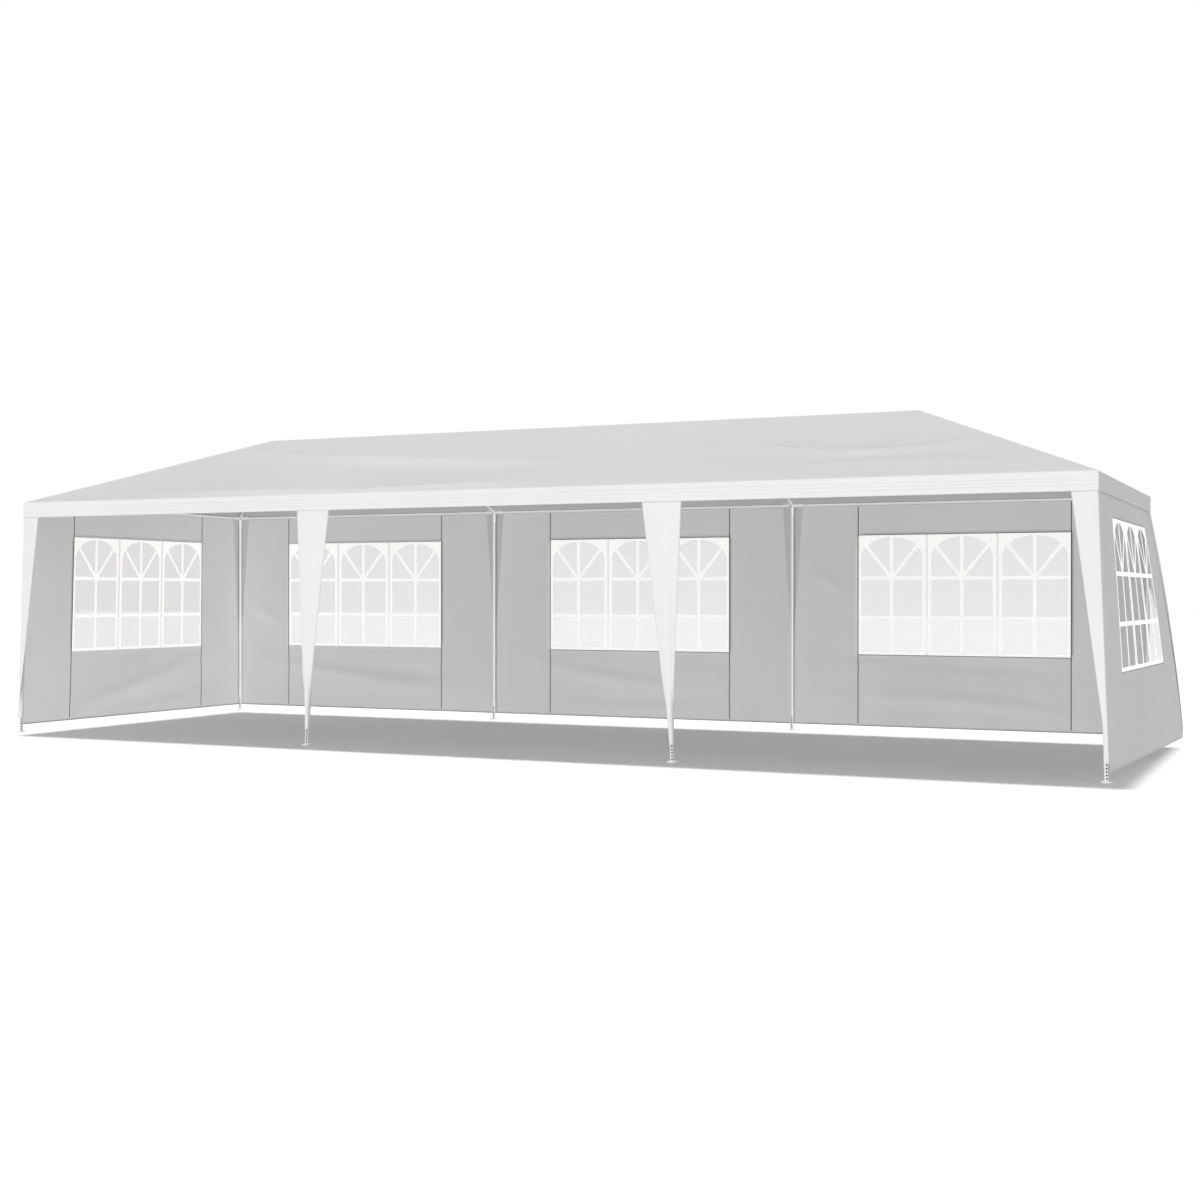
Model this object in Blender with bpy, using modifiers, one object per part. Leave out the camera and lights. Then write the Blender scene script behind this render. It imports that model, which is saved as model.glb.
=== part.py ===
"""A 3 by 9 metre marquee tent: steel tube frame, hip roof cover and five window walls.

The front is open in three bays. X runs along the ridge, the front faces -Y, and the
ground is z = 0. Run it with: blender --background --python part.py
"""

import math

import bmesh
import bpy
from mathutils import Matrix, Vector

# Driving sizes in metres, measured between the axes of the posts
LENGTH = 9.0
WIDTH = 3.0
BAY = LENGTH / 3
EAVE_Z = 1.99
RIDGE_Z = 2.592
RIDGE_INSET = 1.5
FOOT_SPLAY = 0.075  # how far the front feet stand out along X from under the eave
HEM_SWING = 0.259  # how far the right end wall's loose back corner swings out
SWING_BEND = 0.4  # 0 swings the wall out as a flat sheet, more bends it near its top

# Frame tubes and their push-fit connectors
TUBE_R = 0.0125
SIDES = 12
SLEEVE_R = 0.0155
HUB_R = 0.0185
SLEEVE_END = 0.085
SOCKET_BOTTOM = 0.036
SOCKET_R = 0.01305
END_PLAY = 0.001
INNER_TUBE_R = 0.0102
INNER_TUBE_TOP = 0.16
PLATE_R = 0.035
PLATE_T = 0.005
TUBE_TRIM = SOCKET_BOTTOM + END_PLAY  # a tube stops this far short of a hub's centre

# Sheets and where they hang, as distances out from the post axes
GAP = 0.0003
SHEET_T = 0.002
WALL_PLAY = 0.0005  # between the hubs and the walls
VALANCE_PLAY = 0.002  # between the walls and the valance
WALL_OUT = HUB_R + WALL_PLAY + SHEET_T / 2
VALANCE_OUT = WALL_OUT + SHEET_T + VALANCE_PLAY
VALANCE_BOTTOM = 1.87
HEM_Z = 0.06
WALL_TOP = EAVE_Z + 0.003
WINDOW_MARGIN = 0.6
WINDOW_LOW = 0.683
WINDOW_HIGH = 1.722
COVER_WING = 0.17
COVER_HALF = 0.152
COVER_BOTTOM = 0.14
COVER_BOTTOM_HALF = 0.02
COVER_CROWN = 0.012
COVER_COLUMNS = 4
COVER_ROWS = 6

# The roof planes rise evenly from the eave tubes and clear the connectors' hubs
SLOPE = (RIDGE_Z - EAVE_Z) / RIDGE_INSET
ROOF_LIFT = (HUB_R + GAP) * math.hypot(1.0, SLOPE)
ROOF_EDGE = VALANCE_OUT + SHEET_T / 2
ROOF_EDGE_Z = EAVE_Z + ROOF_LIFT - SLOPE * ROOF_EDGE

POST_X = [-LENGTH / 2, -BAY / 2, BAY / 2, LENGTH / 2]
POST_NAMES = ["left", "mid_left", "mid_right", "right"]
BAY_NAMES = ["left", "middle", "right"]
ROWS = {"front": -WIDTH / 2, "back": WIDTH / 2}
RIDGE_END = LENGTH / 2 - RIDGE_INSET
RIDGE_X = [-RIDGE_END, POST_X[1], POST_X[2], RIDGE_END]

# The footprint runs from the left front foot to the right wall's loose corner,
# and the origin is under the middle of it
FOOTPRINT_LOW = -LENGTH / 2 - FOOT_SPLAY - PLATE_R
FOOTPRINT_HIGH = LENGTH / 2 + WALL_OUT + SHEET_T / 2 + HEM_SWING
TO_ORIGIN = Vector((-(FOOTPRINT_LOW + FOOTPRINT_HIGH) / 2, 0, 0))

for old in list(bpy.data.objects):
    bpy.data.objects.remove(old)

tent = bpy.data.collections.new("marquee_tent")
cutters = bpy.data.collections.new("cutters")
bpy.context.scene.collection.children.link(tent)
bpy.context.scene.collection.children.link(cutters)

plan_centre = bpy.data.objects.new("plan_centre", None)
plan_centre.location = TO_ORIGIN
tent.objects.link(plan_centre)


def finish(name, colour, roughness):
    """A plain material for one kind of piece."""
    made = bpy.data.materials.new(name)
    made.use_nodes = True
    shader = made.node_tree.nodes["Principled BSDF"]
    shader.inputs["Base Color"].default_value = (*colour, 1.0)
    shader.inputs["Roughness"].default_value = roughness
    made.diffuse_color = (*colour, 1.0)
    return made


WHITE_STEEL = finish("white_painted_steel", (0.80, 0.80, 0.79), 0.35)
WHITE_FITTING = finish("white_fitting", (0.86, 0.86, 0.85), 0.4)
ROOF_CLOTH = finish("roof_cloth", (0.84, 0.84, 0.84), 0.55)
WALL_CLOTH = finish("wall_cloth", (0.72, 0.72, 0.72), 0.6)
WINDOW_FILM = finish("window_film", (0.90, 0.90, 0.89), 0.25)


def add_piece(name, mesh, material, location=(0, 0, 0)):
    """Puts a mesh in the tent as a named piece, placed from the plan's centre."""
    piece = bpy.data.objects.new(name, mesh)
    mesh.materials.append(material)
    tent.objects.link(piece)
    piece.parent = plan_centre
    piece.location = location
    return piece


def smooth_round_faces(mesh):
    mesh.shade_smooth()
    mesh.set_sharp_from_angle(angle=math.radians(40))


def settle(piece):
    """Keeps a piece's shape as its modifiers leave it, and drops the modifiers."""
    shape = bpy.data.meshes.new_from_object(
        piece.evaluated_get(bpy.context.evaluated_depsgraph_get())
    )
    piece.modifiers.clear()
    piece.data = shape


def thicken(piece, offset):
    """Gives a thin sheet its thickness: 0 spreads it both ways, 1 puts it outside."""
    thick = piece.modifiers.new("thickness", "SOLIDIFY")
    thick.thickness = SHEET_T
    thick.offset = offset
    thick.use_even_offset = True


def along(direction):
    """The rotation that turns +Z to a direction."""
    return direction.to_track_quat("Z", "Y")


def tube(name, start, end):
    """A straight tube between two connectors' centres, pushed into both sockets."""
    start, end = Vector(start), Vector(end)
    shape = bmesh.new()
    bmesh.ops.create_cone(
        shape,
        cap_ends=True,
        segments=SIDES,
        radius1=TUBE_R,
        radius2=TUBE_R,
        depth=(end - start).length - 2 * TUBE_TRIM,
    )
    mesh = bpy.data.meshes.new(name)
    shape.to_mesh(mesh)
    shape.free()
    smooth_round_faces(mesh)
    piece = add_piece(name, mesh, WHITE_STEEL, (start + end) / 2)
    piece.rotation_euler = along(end - start).to_euler()


def cylinder_tool(direction, start, end, radius):
    """A cutter or joining shape: a cylinder along a direction from a hub's centre."""
    shape = bmesh.new()
    turn = along(Vector(direction)).to_matrix().to_4x4()
    bmesh.ops.create_cone(
        shape,
        cap_ends=True,
        segments=SIDES,
        radius1=radius,
        radius2=radius,
        depth=end - start,
        matrix=turn @ Matrix.Translation((0, 0, (start + end) / 2)),
    )
    mesh = bpy.data.meshes.new("cylinder_tool")
    shape.to_mesh(mesh)
    shape.free()
    tool = bpy.data.objects.new("cylinder_tool", mesh)
    tool.hide_render = True
    tool.display_type = "WIRE"
    cutters.objects.link(tool)
    return tool


def combine(piece, tool, operation):
    """Joins a tool to a piece or cuts it away, and removes the tool."""
    tool.parent = plan_centre
    tool.location = piece.location
    change = piece.modifiers.new(operation.lower(), "BOOLEAN")
    change.operation = operation
    change.solver = "EXACT"
    change.object = tool
    bpy.context.view_layer.update()
    settle(piece)
    bpy.data.objects.remove(tool)


def connector(name, centre, directions):
    """A round hub with one blind socket for each tube that ends in it."""
    shape = bmesh.new()
    bmesh.ops.create_uvsphere(shape, u_segments=SIDES, v_segments=6, radius=HUB_R)
    mesh = bpy.data.meshes.new(name)
    shape.to_mesh(mesh)
    shape.free()
    piece = add_piece(name, mesh, WHITE_FITTING, centre)
    for direction in directions:
        combine(piece, cylinder_tool(direction, 0, SLEEVE_END, SLEEVE_R), "UNION")
    for direction in directions:
        bore = cylinder_tool(direction, SOCKET_BOTTOM, SLEEVE_END + 0.002, SOCKET_R)
        combine(piece, bore, "DIFFERENCE")
    smooth_round_faces(piece.data)


def leg(name, x, y, splay):
    """A post with its thinner foot tube and foot plate, turned in one profile."""
    top = EAVE_Z - TUBE_TRIM
    profile = [
        (0, top),
        (TUBE_R, top),
        (TUBE_R, INNER_TUBE_TOP),
        (INNER_TUBE_R, INNER_TUBE_TOP),
        (INNER_TUBE_R, PLATE_T),
        (PLATE_R, PLATE_T),
        (PLATE_R, 0),
        (0, 0),
    ]
    mesh = bpy.data.meshes.new(name)
    points = [(r, 0, z) for r, z in profile]
    mesh.from_pydata(points, [(i, i + 1) for i in range(len(points) - 1)], [])
    piece = add_piece(name, mesh, WHITE_STEEL, (x, y, 0))
    turn = piece.modifiers.new("turn", "SCREW")
    turn.steps = turn.render_steps = SIDES
    turn.use_merge_vertices = True
    turn.merge_threshold = 0.0001
    bpy.context.view_layer.update()
    settle(piece)
    # A lean is a shear, so that the foot plate stays flat on the ground
    lean = Matrix.Shear("XY", 4, (-splay / EAVE_Z, 0))
    piece.data.transform(Matrix.Translation((splay, 0, 0)) @ lean)
    smooth_round_faces(piece.data)


def drop_at(z):
    """0 behind the valance and 1 at the ground, for what hangs free below it."""
    return max(0, 1 - z / VALANCE_BOTTOM)


def lean_at(z):
    """How far the cloth on a leaning front post has moved out along X."""
    return FOOT_SPLAY * drop_at(z)


def left_wall_out(y, z):
    """The left end wall follows the leaning front post and the plumb back post."""
    forward = (WIDTH / 2 - y) / WIDTH
    return lean_at(z) * forward


def right_wall_out(y, z):
    """The right end wall also swings out at its loose back corner."""
    forward = (WIDTH / 2 - y) / WIDTH
    drop = drop_at(z) / drop_at(HEM_Z)
    swing = HEM_SWING * drop * (1 + SWING_BEND - SWING_BEND * drop)
    return lean_at(z) * forward + swing * (1 - forward)


def sheet(name, columns, rows, out, material, hole=None):
    """A hanging sheet in its own XZ plane, bulged along its own +Y, with real thickness.

    columns and rows are where its mesh lines run, and a hole is (left, right, low, high).
    """
    shape = bmesh.new()
    cells_x, cells_z = len(columns) - 1, len(rows) - 1
    bmesh.ops.create_grid(shape, x_segments=cells_x, y_segments=cells_z, size=1)
    for vertex in shape.verts:
        i = round((vertex.co.x + 1) / 2 * cells_x)
        j = round((vertex.co.y + 1) / 2 * cells_z)
        vertex.co = (columns[i], out(columns[i], rows[j]), rows[j])
    if hole:
        left, right, low, high = hole
        inside = [
            face
            for face in shape.faces
            if left < face.calc_center_median().x < right
            and low < face.calc_center_median().z < high
        ]
        bmesh.ops.delete(shape, geom=inside, context="FACES")
    mesh = bpy.data.meshes.new(name)
    shape.to_mesh(mesh)
    shape.free()
    piece = add_piece(name, mesh, material)
    thicken(piece, 0)
    return piece


def spread(low, high, count):
    return [low + (high - low) * k / count for k in range(count + 1)]


def wall(side, place, turn, left, right, out, lines):
    """One wall panel and its window, hung in a bay."""
    window_left, window_right = -BAY / 2 + WINDOW_MARGIN, BAY / 2 - WINDOW_MARGIN
    across = spread(window_left, window_right, lines)
    up = spread(WINDOW_LOW, WINDOW_HIGH, lines)
    columns = spread(left, window_left, lines // 2)[:-1] + across
    columns += spread(window_right, right, lines // 2)[1:]
    rows = spread(HEM_Z, WINDOW_LOW, lines // 2)[:-1] + up
    rows += [VALANCE_BOTTOM, WALL_TOP]
    hole = (window_left, window_right, WINDOW_LOW, WINDOW_HIGH)
    panel = sheet(f"{side}_wall", columns, rows, out, WALL_CLOTH, hole)
    film_columns = spread(window_left + GAP, window_right - GAP, lines)
    film_rows = spread(WINDOW_LOW + GAP, WINDOW_HIGH - GAP, lines)
    window = sheet(f"{side}_window", film_columns, film_rows, out, WINDOW_FILM)
    for piece in (panel, window):
        piece.location = place
        piece.rotation_euler = (0, 0, turn)


def walls():
    corner = BAY / 2 + WALL_OUT + SHEET_T / 2
    seam = BAY / 2 - GAP / 2
    back_y = WIDTH / 2 + WALL_OUT
    ends = {"left": (corner, seam), "middle": (seam, seam), "right": (seam, corner)}
    for index, name in enumerate(BAY_NAMES):
        left, right = ends[name]
        middle = (index - 1) * BAY
        wall(f"back_{name}", (middle, back_y, 0), 0, -left, right, lambda u, z: 0, 2)
    back_edge = BAY / 2 + WALL_OUT - SHEET_T / 2 - GAP
    end_x = LENGTH / 2 + WALL_OUT
    wall("left_end", (-end_x, 0, 0), math.pi / 2, -BAY / 2, back_edge, left_wall_out, 4)
    wall(
        "right_end",
        (end_x, 0, 0),
        -math.pi / 2,
        -back_edge,
        BAY / 2,
        lambda u, z: right_wall_out(-u, z),
        6,
    )


def roof_cover():
    """The hip roof: a box whose top is drawn together into the ridge, opened below."""
    shape = bmesh.new()
    bmesh.ops.create_cube(shape, size=2)
    low = [face for face in shape.faces if face.normal.z < -0.5]
    top = [face for face in shape.faces if face.normal.z > 0.5]
    bmesh.ops.delete(shape, geom=low + top, context="FACES_ONLY")
    ridge_z = RIDGE_Z + ROOF_LIFT
    for vertex in shape.verts:
        if vertex.co.z > 0:
            vertex.co = (math.copysign(RIDGE_END, vertex.co.x), 0, ridge_z)
        else:
            edge_x = math.copysign(LENGTH / 2 + ROOF_EDGE, vertex.co.x)
            edge_y = math.copysign(WIDTH / 2 + ROOF_EDGE, vertex.co.y)
            vertex.co = (edge_x, edge_y, ROOF_EDGE_Z)
    bmesh.ops.remove_doubles(shape, verts=shape.verts, dist=0.0001)
    bmesh.ops.recalc_face_normals(shape, faces=shape.faces)
    mesh = bpy.data.meshes.new("roof_cover")
    shape.to_mesh(mesh)
    shape.free()
    thicken(add_piece("roof_cover", mesh, ROOF_CLOTH), 1)


def valance():
    """The strip that hangs all round the roof's edge."""
    shape = bmesh.new()
    bmesh.ops.create_cube(shape, size=2)
    flat = [face for face in shape.faces if abs(face.normal.z) > 0.5]
    bmesh.ops.delete(shape, geom=flat, context="FACES_ONLY")
    top = ROOF_EDGE_Z - GAP
    for vertex in shape.verts:
        vertex.co.x *= LENGTH / 2 + VALANCE_OUT
        vertex.co.y *= WIDTH / 2 + VALANCE_OUT
        vertex.co.z = top if vertex.co.z > 0 else VALANCE_BOTTOM
    mesh = bpy.data.meshes.new("valance")
    shape.to_mesh(mesh)
    shape.free()
    thicken(add_piece("valance", mesh, ROOF_CLOTH), 0)


def draped_cover(name, place):
    """A leg cover: place(u, z, down) gives a point of it, with u from -1 to 1."""
    rows = spread(COVER_BOTTOM, VALANCE_BOTTOM - GAP, COVER_ROWS)
    shape = bmesh.new()
    bmesh.ops.create_grid(shape, x_segments=COVER_COLUMNS, y_segments=COVER_ROWS, size=1)
    for vertex in shape.verts:
        z = rows[round((vertex.co.y + 1) / 2 * COVER_ROWS)]
        down = (rows[-1] - z) / (rows[-1] - rows[0])
        vertex.co = place(vertex.co.x, z, down)
    mesh = bpy.data.meshes.new(name)
    shape.to_mesh(mesh)
    shape.free()
    thicken(add_piece(name, mesh, ROOF_CLOTH), 0)


def middle_cover(name, x, y, lean):
    """A flat-topped cover that narrows down a middle post, with a soft crown."""
    facing = math.copysign(1, y)

    def place(u, z, down):
        half = COVER_HALF + (COVER_BOTTOM_HALF - COVER_HALF) * down
        crown = COVER_CROWN * math.sin(math.pi * down) * math.cos(math.pi / 2 * u)
        across = x + lean * lean_at(z) + half * u
        return across, y + facing * (VALANCE_OUT + crown), z

    draped_cover(name, place)


def corner_cover(name, x, y):
    """A cover folded round a corner post, with a wing on each side of the fold."""
    side, facing = math.copysign(1, x), math.copysign(1, y)
    wall_out = left_wall_out if x < 0 else right_wall_out

    def place(u, z, down):
        wing = COVER_WING + (COVER_BOTTOM_HALF - COVER_WING) * down
        fold_y = y + facing * VALANCE_OUT
        if u < 0:
            here_y = fold_y + facing * wing * u
            return x + side * (VALANCE_OUT + wall_out(here_y, z)), here_y, z
        fold_x = x + side * (VALANCE_OUT + wall_out(y, z))
        return fold_x - side * wing * u, fold_y, z

    draped_cover(name, place)


def corner_post(name, x, y):
    """A corner leg with its connector, its hip rafter and its folded cover."""
    outward, inward = math.copysign(1, x), -math.copysign(1, y)
    splay = outward * FOOT_SPLAY if y < 0 else 0
    head = Vector((x, y, EAVE_Z))
    peak = Vector((outward * RIDGE_END, 0, RIDGE_Z))
    leg(f"{name}_leg", x, y, splay)
    tube(f"{name}_hip_rafter", head, peak)
    eave_directions = [(-outward, 0, 0), (0, inward, 0)]
    directions = [(splay, 0, -EAVE_Z), peak - head] + eave_directions
    connector(f"{name}_eave_connector", head, directions)
    corner_cover(f"{name}_leg_cover", x, y)


def middle_post(name, x, y):
    """A leg in the middle of a long side with its connector, rafter and cover."""
    lean = math.copysign(1, x) if y < 0 else 0
    splay = lean * FOOT_SPLAY
    head = Vector((x, y, EAVE_Z))
    peak = Vector((x, 0, RIDGE_Z))
    leg(f"{name}_leg", x, y, splay)
    tube(f"{name}_rafter", head, peak)
    directions = [(splay, 0, -EAVE_Z), peak - head, (1, 0, 0), (-1, 0, 0)]
    connector(f"{name}_eave_connector", head, directions)
    middle_cover(f"{name}_leg_cover", x, y, lean)


def posts():
    for row, y in ROWS.items():
        for place, x in zip(POST_NAMES, POST_X):
            build = middle_post if place.startswith("mid") else corner_post
            build(f"{row}_{place}", x, y)


def eave_tubes():
    for row, y in ROWS.items():
        for index, name in enumerate(BAY_NAMES):
            ends = [(POST_X[index + k], y, EAVE_Z) for k in (0, 1)]
            tube(f"{row}_{name}_eave_tube", *ends)
    for name, x in (("left", POST_X[0]), ("right", POST_X[-1])):
        ends = [(x, y, EAVE_Z) for y in ROWS.values()]
        tube(f"{name}_end_eave_tube", *ends)


def ridge():
    """Three ridge tubes in line, and a connector where the rafters meet each end."""
    peaks = [Vector((x, 0, RIDGE_Z)) for x in RIDGE_X]
    for index, name in enumerate(BAY_NAMES):
        tube(f"{name}_ridge_tube", peaks[index], peaks[index + 1])
    for index, peak in enumerate(peaks):
        directions = [Vector((POST_X[index], y, EAVE_Z)) - peak for y in ROWS.values()]
        if index > 0:
            directions.append((-1, 0, 0))
        if index < len(peaks) - 1:
            directions.append((1, 0, 0))
        connector(f"{POST_NAMES[index]}_ridge_connector", peak, directions)


posts()
eave_tubes()
ridge()
roof_cover()
valance()
walls()
bpy.context.view_layer.update()
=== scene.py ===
# %% [markdown]
# # A marquee tent, dressed piece by piece
#
# This is a party marquee of three bays. White steel tubes push into moulded connectors, one
# hip roof with a valance lies over them, a tapered cover runs down each leg, and five wall
# panels with arched windows close the back and both ends. The solids that carry the tent
# are loaded first and stay where they are. Each step below dresses some of them, in metres
# and in the same frame, with +X along the ridge and the open front facing -Y.

import math

import bmesh
import bpy
from mathutils import Matrix, Vector, noise


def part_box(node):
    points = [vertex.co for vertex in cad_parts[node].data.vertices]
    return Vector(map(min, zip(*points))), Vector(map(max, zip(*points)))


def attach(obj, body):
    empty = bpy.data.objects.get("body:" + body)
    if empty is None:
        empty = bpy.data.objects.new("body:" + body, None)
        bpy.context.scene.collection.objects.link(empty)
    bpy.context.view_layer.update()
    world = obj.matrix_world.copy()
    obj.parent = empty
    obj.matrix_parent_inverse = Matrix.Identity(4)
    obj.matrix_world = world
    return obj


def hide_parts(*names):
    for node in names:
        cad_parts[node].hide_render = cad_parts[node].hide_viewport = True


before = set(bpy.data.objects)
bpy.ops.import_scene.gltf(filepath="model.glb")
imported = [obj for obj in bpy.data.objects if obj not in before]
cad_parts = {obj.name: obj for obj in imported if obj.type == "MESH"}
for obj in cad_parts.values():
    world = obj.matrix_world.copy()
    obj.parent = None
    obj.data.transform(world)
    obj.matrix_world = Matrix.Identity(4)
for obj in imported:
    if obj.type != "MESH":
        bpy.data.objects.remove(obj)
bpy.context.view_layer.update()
print("solids loaded:", len(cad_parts))

# %% [markdown]
# ## The main lines of the tent
#
# Every later step hangs something from the posts, the eave or the ridge, so their places
# are read once from the solids' boxes. The back posts stand plumb, which makes them the
# best ruler. The front posts stand outside them at the ground, and the difference between
# the two left foot plates is that splay. Each post is noted with its side, name, place and
# splay, for all that is built once at every post.

# %% Read the main lines from the solids
POST_NAMES = ["left", "mid_left", "mid_right", "right"]
BAY_NAMES = ["left", "middle", "right"]


def middle_of(node):
    low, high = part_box(node)
    return (low + high) / 2


POST_X = [middle_of(f"back_{name}_leg").x for name in POST_NAMES]
FRONT_Y = middle_of("front_left_leg").y
BACK_Y = middle_of("back_left_leg").y
CENTRE_X = (POST_X[0] + POST_X[-1]) / 2
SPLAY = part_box("back_left_leg")[0].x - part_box("front_left_leg")[0].x
EAVE_Z = middle_of("left_end_eave_tube").z
RIDGE_Z = middle_of("middle_ridge_tube").z
VALANCE_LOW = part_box("valance")[0].z
HEM_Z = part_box("back_middle_wall")[0].z
POSTS = [
    (side, name, x, y, math.copysign(SPLAY, x - CENTRE_X) if side == "front" else 0.0)
    for side, y in (("front", FRONT_Y), ("back", BACK_Y))
    for name, x in zip(POST_NAMES, POST_X)
]
print(f"bay {POST_X[1] - POST_X[0]:.3f} m, eave {EAVE_Z:.3f} m, splay {SPLAY:.3f} m")

# %% [markdown]
# ## Helpers for every step
#
# Three jobs come back all through the script: an object has to be linked to the scene, a
# bmesh has to become a mesh, and a shader node has to get its inputs. A node's inputs are
# given as a dictionary here. A value that is another node's socket is linked, and any other
# value is set, so that a finish reads from its source to its surface.

# %% Helpers for objects, meshes and nodes
def stand(name, data):
    """An object with this data, linked to the scene."""
    made = bpy.data.objects.new(name, data)
    bpy.context.scene.collection.objects.link(made)
    return made


def mesh_of(name, shape):
    """The mesh of a bmesh, which is freed."""
    mesh = bpy.data.meshes.new(name)
    shape.to_mesh(mesh)
    shape.free()
    return mesh


def merge(shape, extra):
    """Adds one bmesh to another."""
    mesh = mesh_of("merged", extra)
    shape.from_mesh(mesh)
    bpy.data.meshes.remove(mesh)


def wire(tree, node, values):
    """Links each input of a node to a socket, or sets it to a plain value."""
    for place, value in values.items():
        if isinstance(value, bpy.types.NodeSocket):
            tree.links.new(value, node.inputs[place])
        else:
            node.inputs[place].default_value = value


def add_node(tree, kind, values=None, **settings):
    node = tree.nodes.new("ShaderNode" + kind)
    for name, value in settings.items():
        setattr(node, name, value)
    wire(tree, node, values or {})
    return node


def map_range(tree, value, start, end, low, high):
    """A value that runs from low to high while another one runs from start to end."""
    values = {"Value": value, "From Min": start, "From Max": end, "To Min": low, "To Max": high}
    return add_node(tree, "MapRange", values).outputs["Result"]


def begin_finish(name):
    made = bpy.data.materials.new(name)
    made.use_nodes = True
    return made, made.node_tree, made.node_tree.nodes["Principled BSDF"]


def grey(level):
    return (level, level, level, 1)


# %% [markdown]
# ## The camera
#
# The photograph is square and was taken from in front of the right half, at about chest
# height, looking a little to the left. The lens and the place come from the feet, the
# eaves, the ridge and the windows, whose real distances are known, so the camera is set
# by numbers and not aimed by eye.

# %% Place the camera
PHOTO_PX = 1200
FOCAL_PX = 1621.07
SENSOR_MM = 36.0
EYE = Vector((CENTRE_X + 5.96, -12.284, 1.20))
LOOK = (math.pi / 2 - 0.0031, -0.0007, 0.4308)

camera_data = bpy.data.cameras.new("photo_camera")
camera_data.sensor_width = SENSOR_MM
camera_data.lens = SENSOR_MM * FOCAL_PX / PHOTO_PX
camera_data.clip_end = 300.0
camera = stand("photo_camera", camera_data)
camera.location = EYE
camera.rotation_euler = LOOK
bpy.context.scene.camera = camera
print(f"lens {camera_data.lens:.1f} mm, {EYE.length:.1f} m from the tent's middle")

# %% [markdown]
# ## Light, background and floor
#
# The photograph shows the tent on white, with one flat shadow under it, and hardly any
# change of light from one side to the other. An even white sky does most of that. The
# camera sees it at full strength, while the tent gets less, so that the cloth keeps its
# greys, and the floor hides from the tent, so that the same even light reaches it from
# below. The rest is done by suns with light linking, all of them wide but the floor's. The
# front fill lights what faces outwards. It leaves out the floor, the walls and the frame's
# pieces inside, which would get it only near the ground, and the fill from behind leaves
# out the floor. Daylight also soaks through thin white cloth: a wide sun from the front
# right, for the inner walls and the frame alone, stands for that. The floor has a narrow
# sun of its own, which only the roof blocks. It makes the floor white beside a clear
# shadow, and it stands a little behind and to the left, as the photograph's shadow lies
# forward of the tent.

# %% Light the scene
LIGHT_FROM_ABOVE = 0.52
LIGHT_FROM_BELOW = 0.34
HORIZON = 0.02
SUNS = {
    "front_fill": (0.52, 50, (-0.20, -1, 0.10)),
    "side_fill": (0.10, 40, (1, -0.1, 0.25)),
    "back_fill": (0.46, 40, (-0.5, 1, 0.10)),
    "soaked_light": (0.57, 40, (0.8, -0.8, 0.38)),
    "floor_sun": (0.76, 4.5, (-0.12, 0.16, 1)),
}
FLOOR_SIZE = 160.0
FLOOR_WHITE = 0.86


def even_sky():
    """White to the camera, and dimmer as light on the tent, from above and from below."""
    world = bpy.data.worlds.new("even_sky")
    world.use_nodes = True
    tree = world.node_tree
    light, output = tree.nodes["Background"], tree.nodes["World Output"]
    direction = add_node(tree, "TexCoord").outputs["Generated"]
    height = add_node(tree, "SeparateXYZ", {0: direction}).outputs["Z"]
    strength = map_range(tree, height, -HORIZON, HORIZON, LIGHT_FROM_BELOW, LIGHT_FROM_ABOVE)
    wire(tree, light, {"Color": grey(1), "Strength": strength})
    seen = add_node(tree, "Background", {"Color": grey(1)})
    to_camera = add_node(tree, "LightPath").outputs["Is Camera Ray"]
    mix = add_node(tree, "MixShader", {0: to_camera, 1: light.outputs[0], 2: seen.outputs[0]})
    wire(tree, output, {"Surface": mix.outputs[0]})
    return world


def sun(name, share, spread, towards):
    """A sun whose full face gives that share of white, from the direction it stands in."""
    data = bpy.data.lights.new(name, "SUN")
    data.energy = share * math.pi
    data.angle = math.radians(spread)
    lamp = stand(name, data)
    lamp.rotation_euler = Vector(towards).to_track_quat("Z", "Y").to_euler()
    return lamp


def studio_floor():
    shape = bmesh.new()
    bmesh.ops.create_grid(shape, x_segments=1, y_segments=1, size=FLOOR_SIZE / 2)
    floor = stand("studio_floor", mesh_of("studio_floor", shape))
    paint, tree, shader = begin_finish("studio_white")
    matt = {"Base Color": grey(FLOOR_WHITE), "Roughness": 1.0, "Specular IOR Level": 0.0}
    wire(tree, shader, matt)
    floor.data.materials.append(paint)
    return floor


def leave_out(collection, piece):
    """Keeps a piece out of the light that is linked to the collection."""
    collection.objects.link(piece)
    collection.collection_objects[-1].light_linking.link_state = "EXCLUDE"


def keep_inside(piece):
    """Gives a piece under the roof the soaked light and not the front fill."""
    soaked.objects.link(piece)
    leave_out(outwards, piece)


bpy.context.scene.world = even_sky()
bpy.context.scene.view_settings.view_transform = "Standard"
lamps = {name: sun(name, *numbers) for name, numbers in SUNS.items()}
link_names = ("floor_alone", "roof_alone", "soaked_pieces", "facing_outwards", "off_the_floor")
floor_alone, roof_alone, soaked, outwards, raised = map(bpy.data.collections.new, link_names)
floor = studio_floor()
floor.visible_diffuse = False
floor.visible_shadow = False
floor_alone.objects.link(floor)
leave_out(outwards, floor)
leave_out(raised, floor)
LINKS = {
    "back_fill": (raised, None),
    "front_fill": (outwards, None),
    "soaked_light": (soaked, floor_alone),
    "floor_sun": (floor_alone, roof_alone),
}
for name, (lit, blockers) in LINKS.items():
    lamps[name].light_linking.receiver_collection = lit
    lamps[name].light_linking.blocker_collection = blockers
print("lights:", ", ".join(SUNS))
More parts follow.
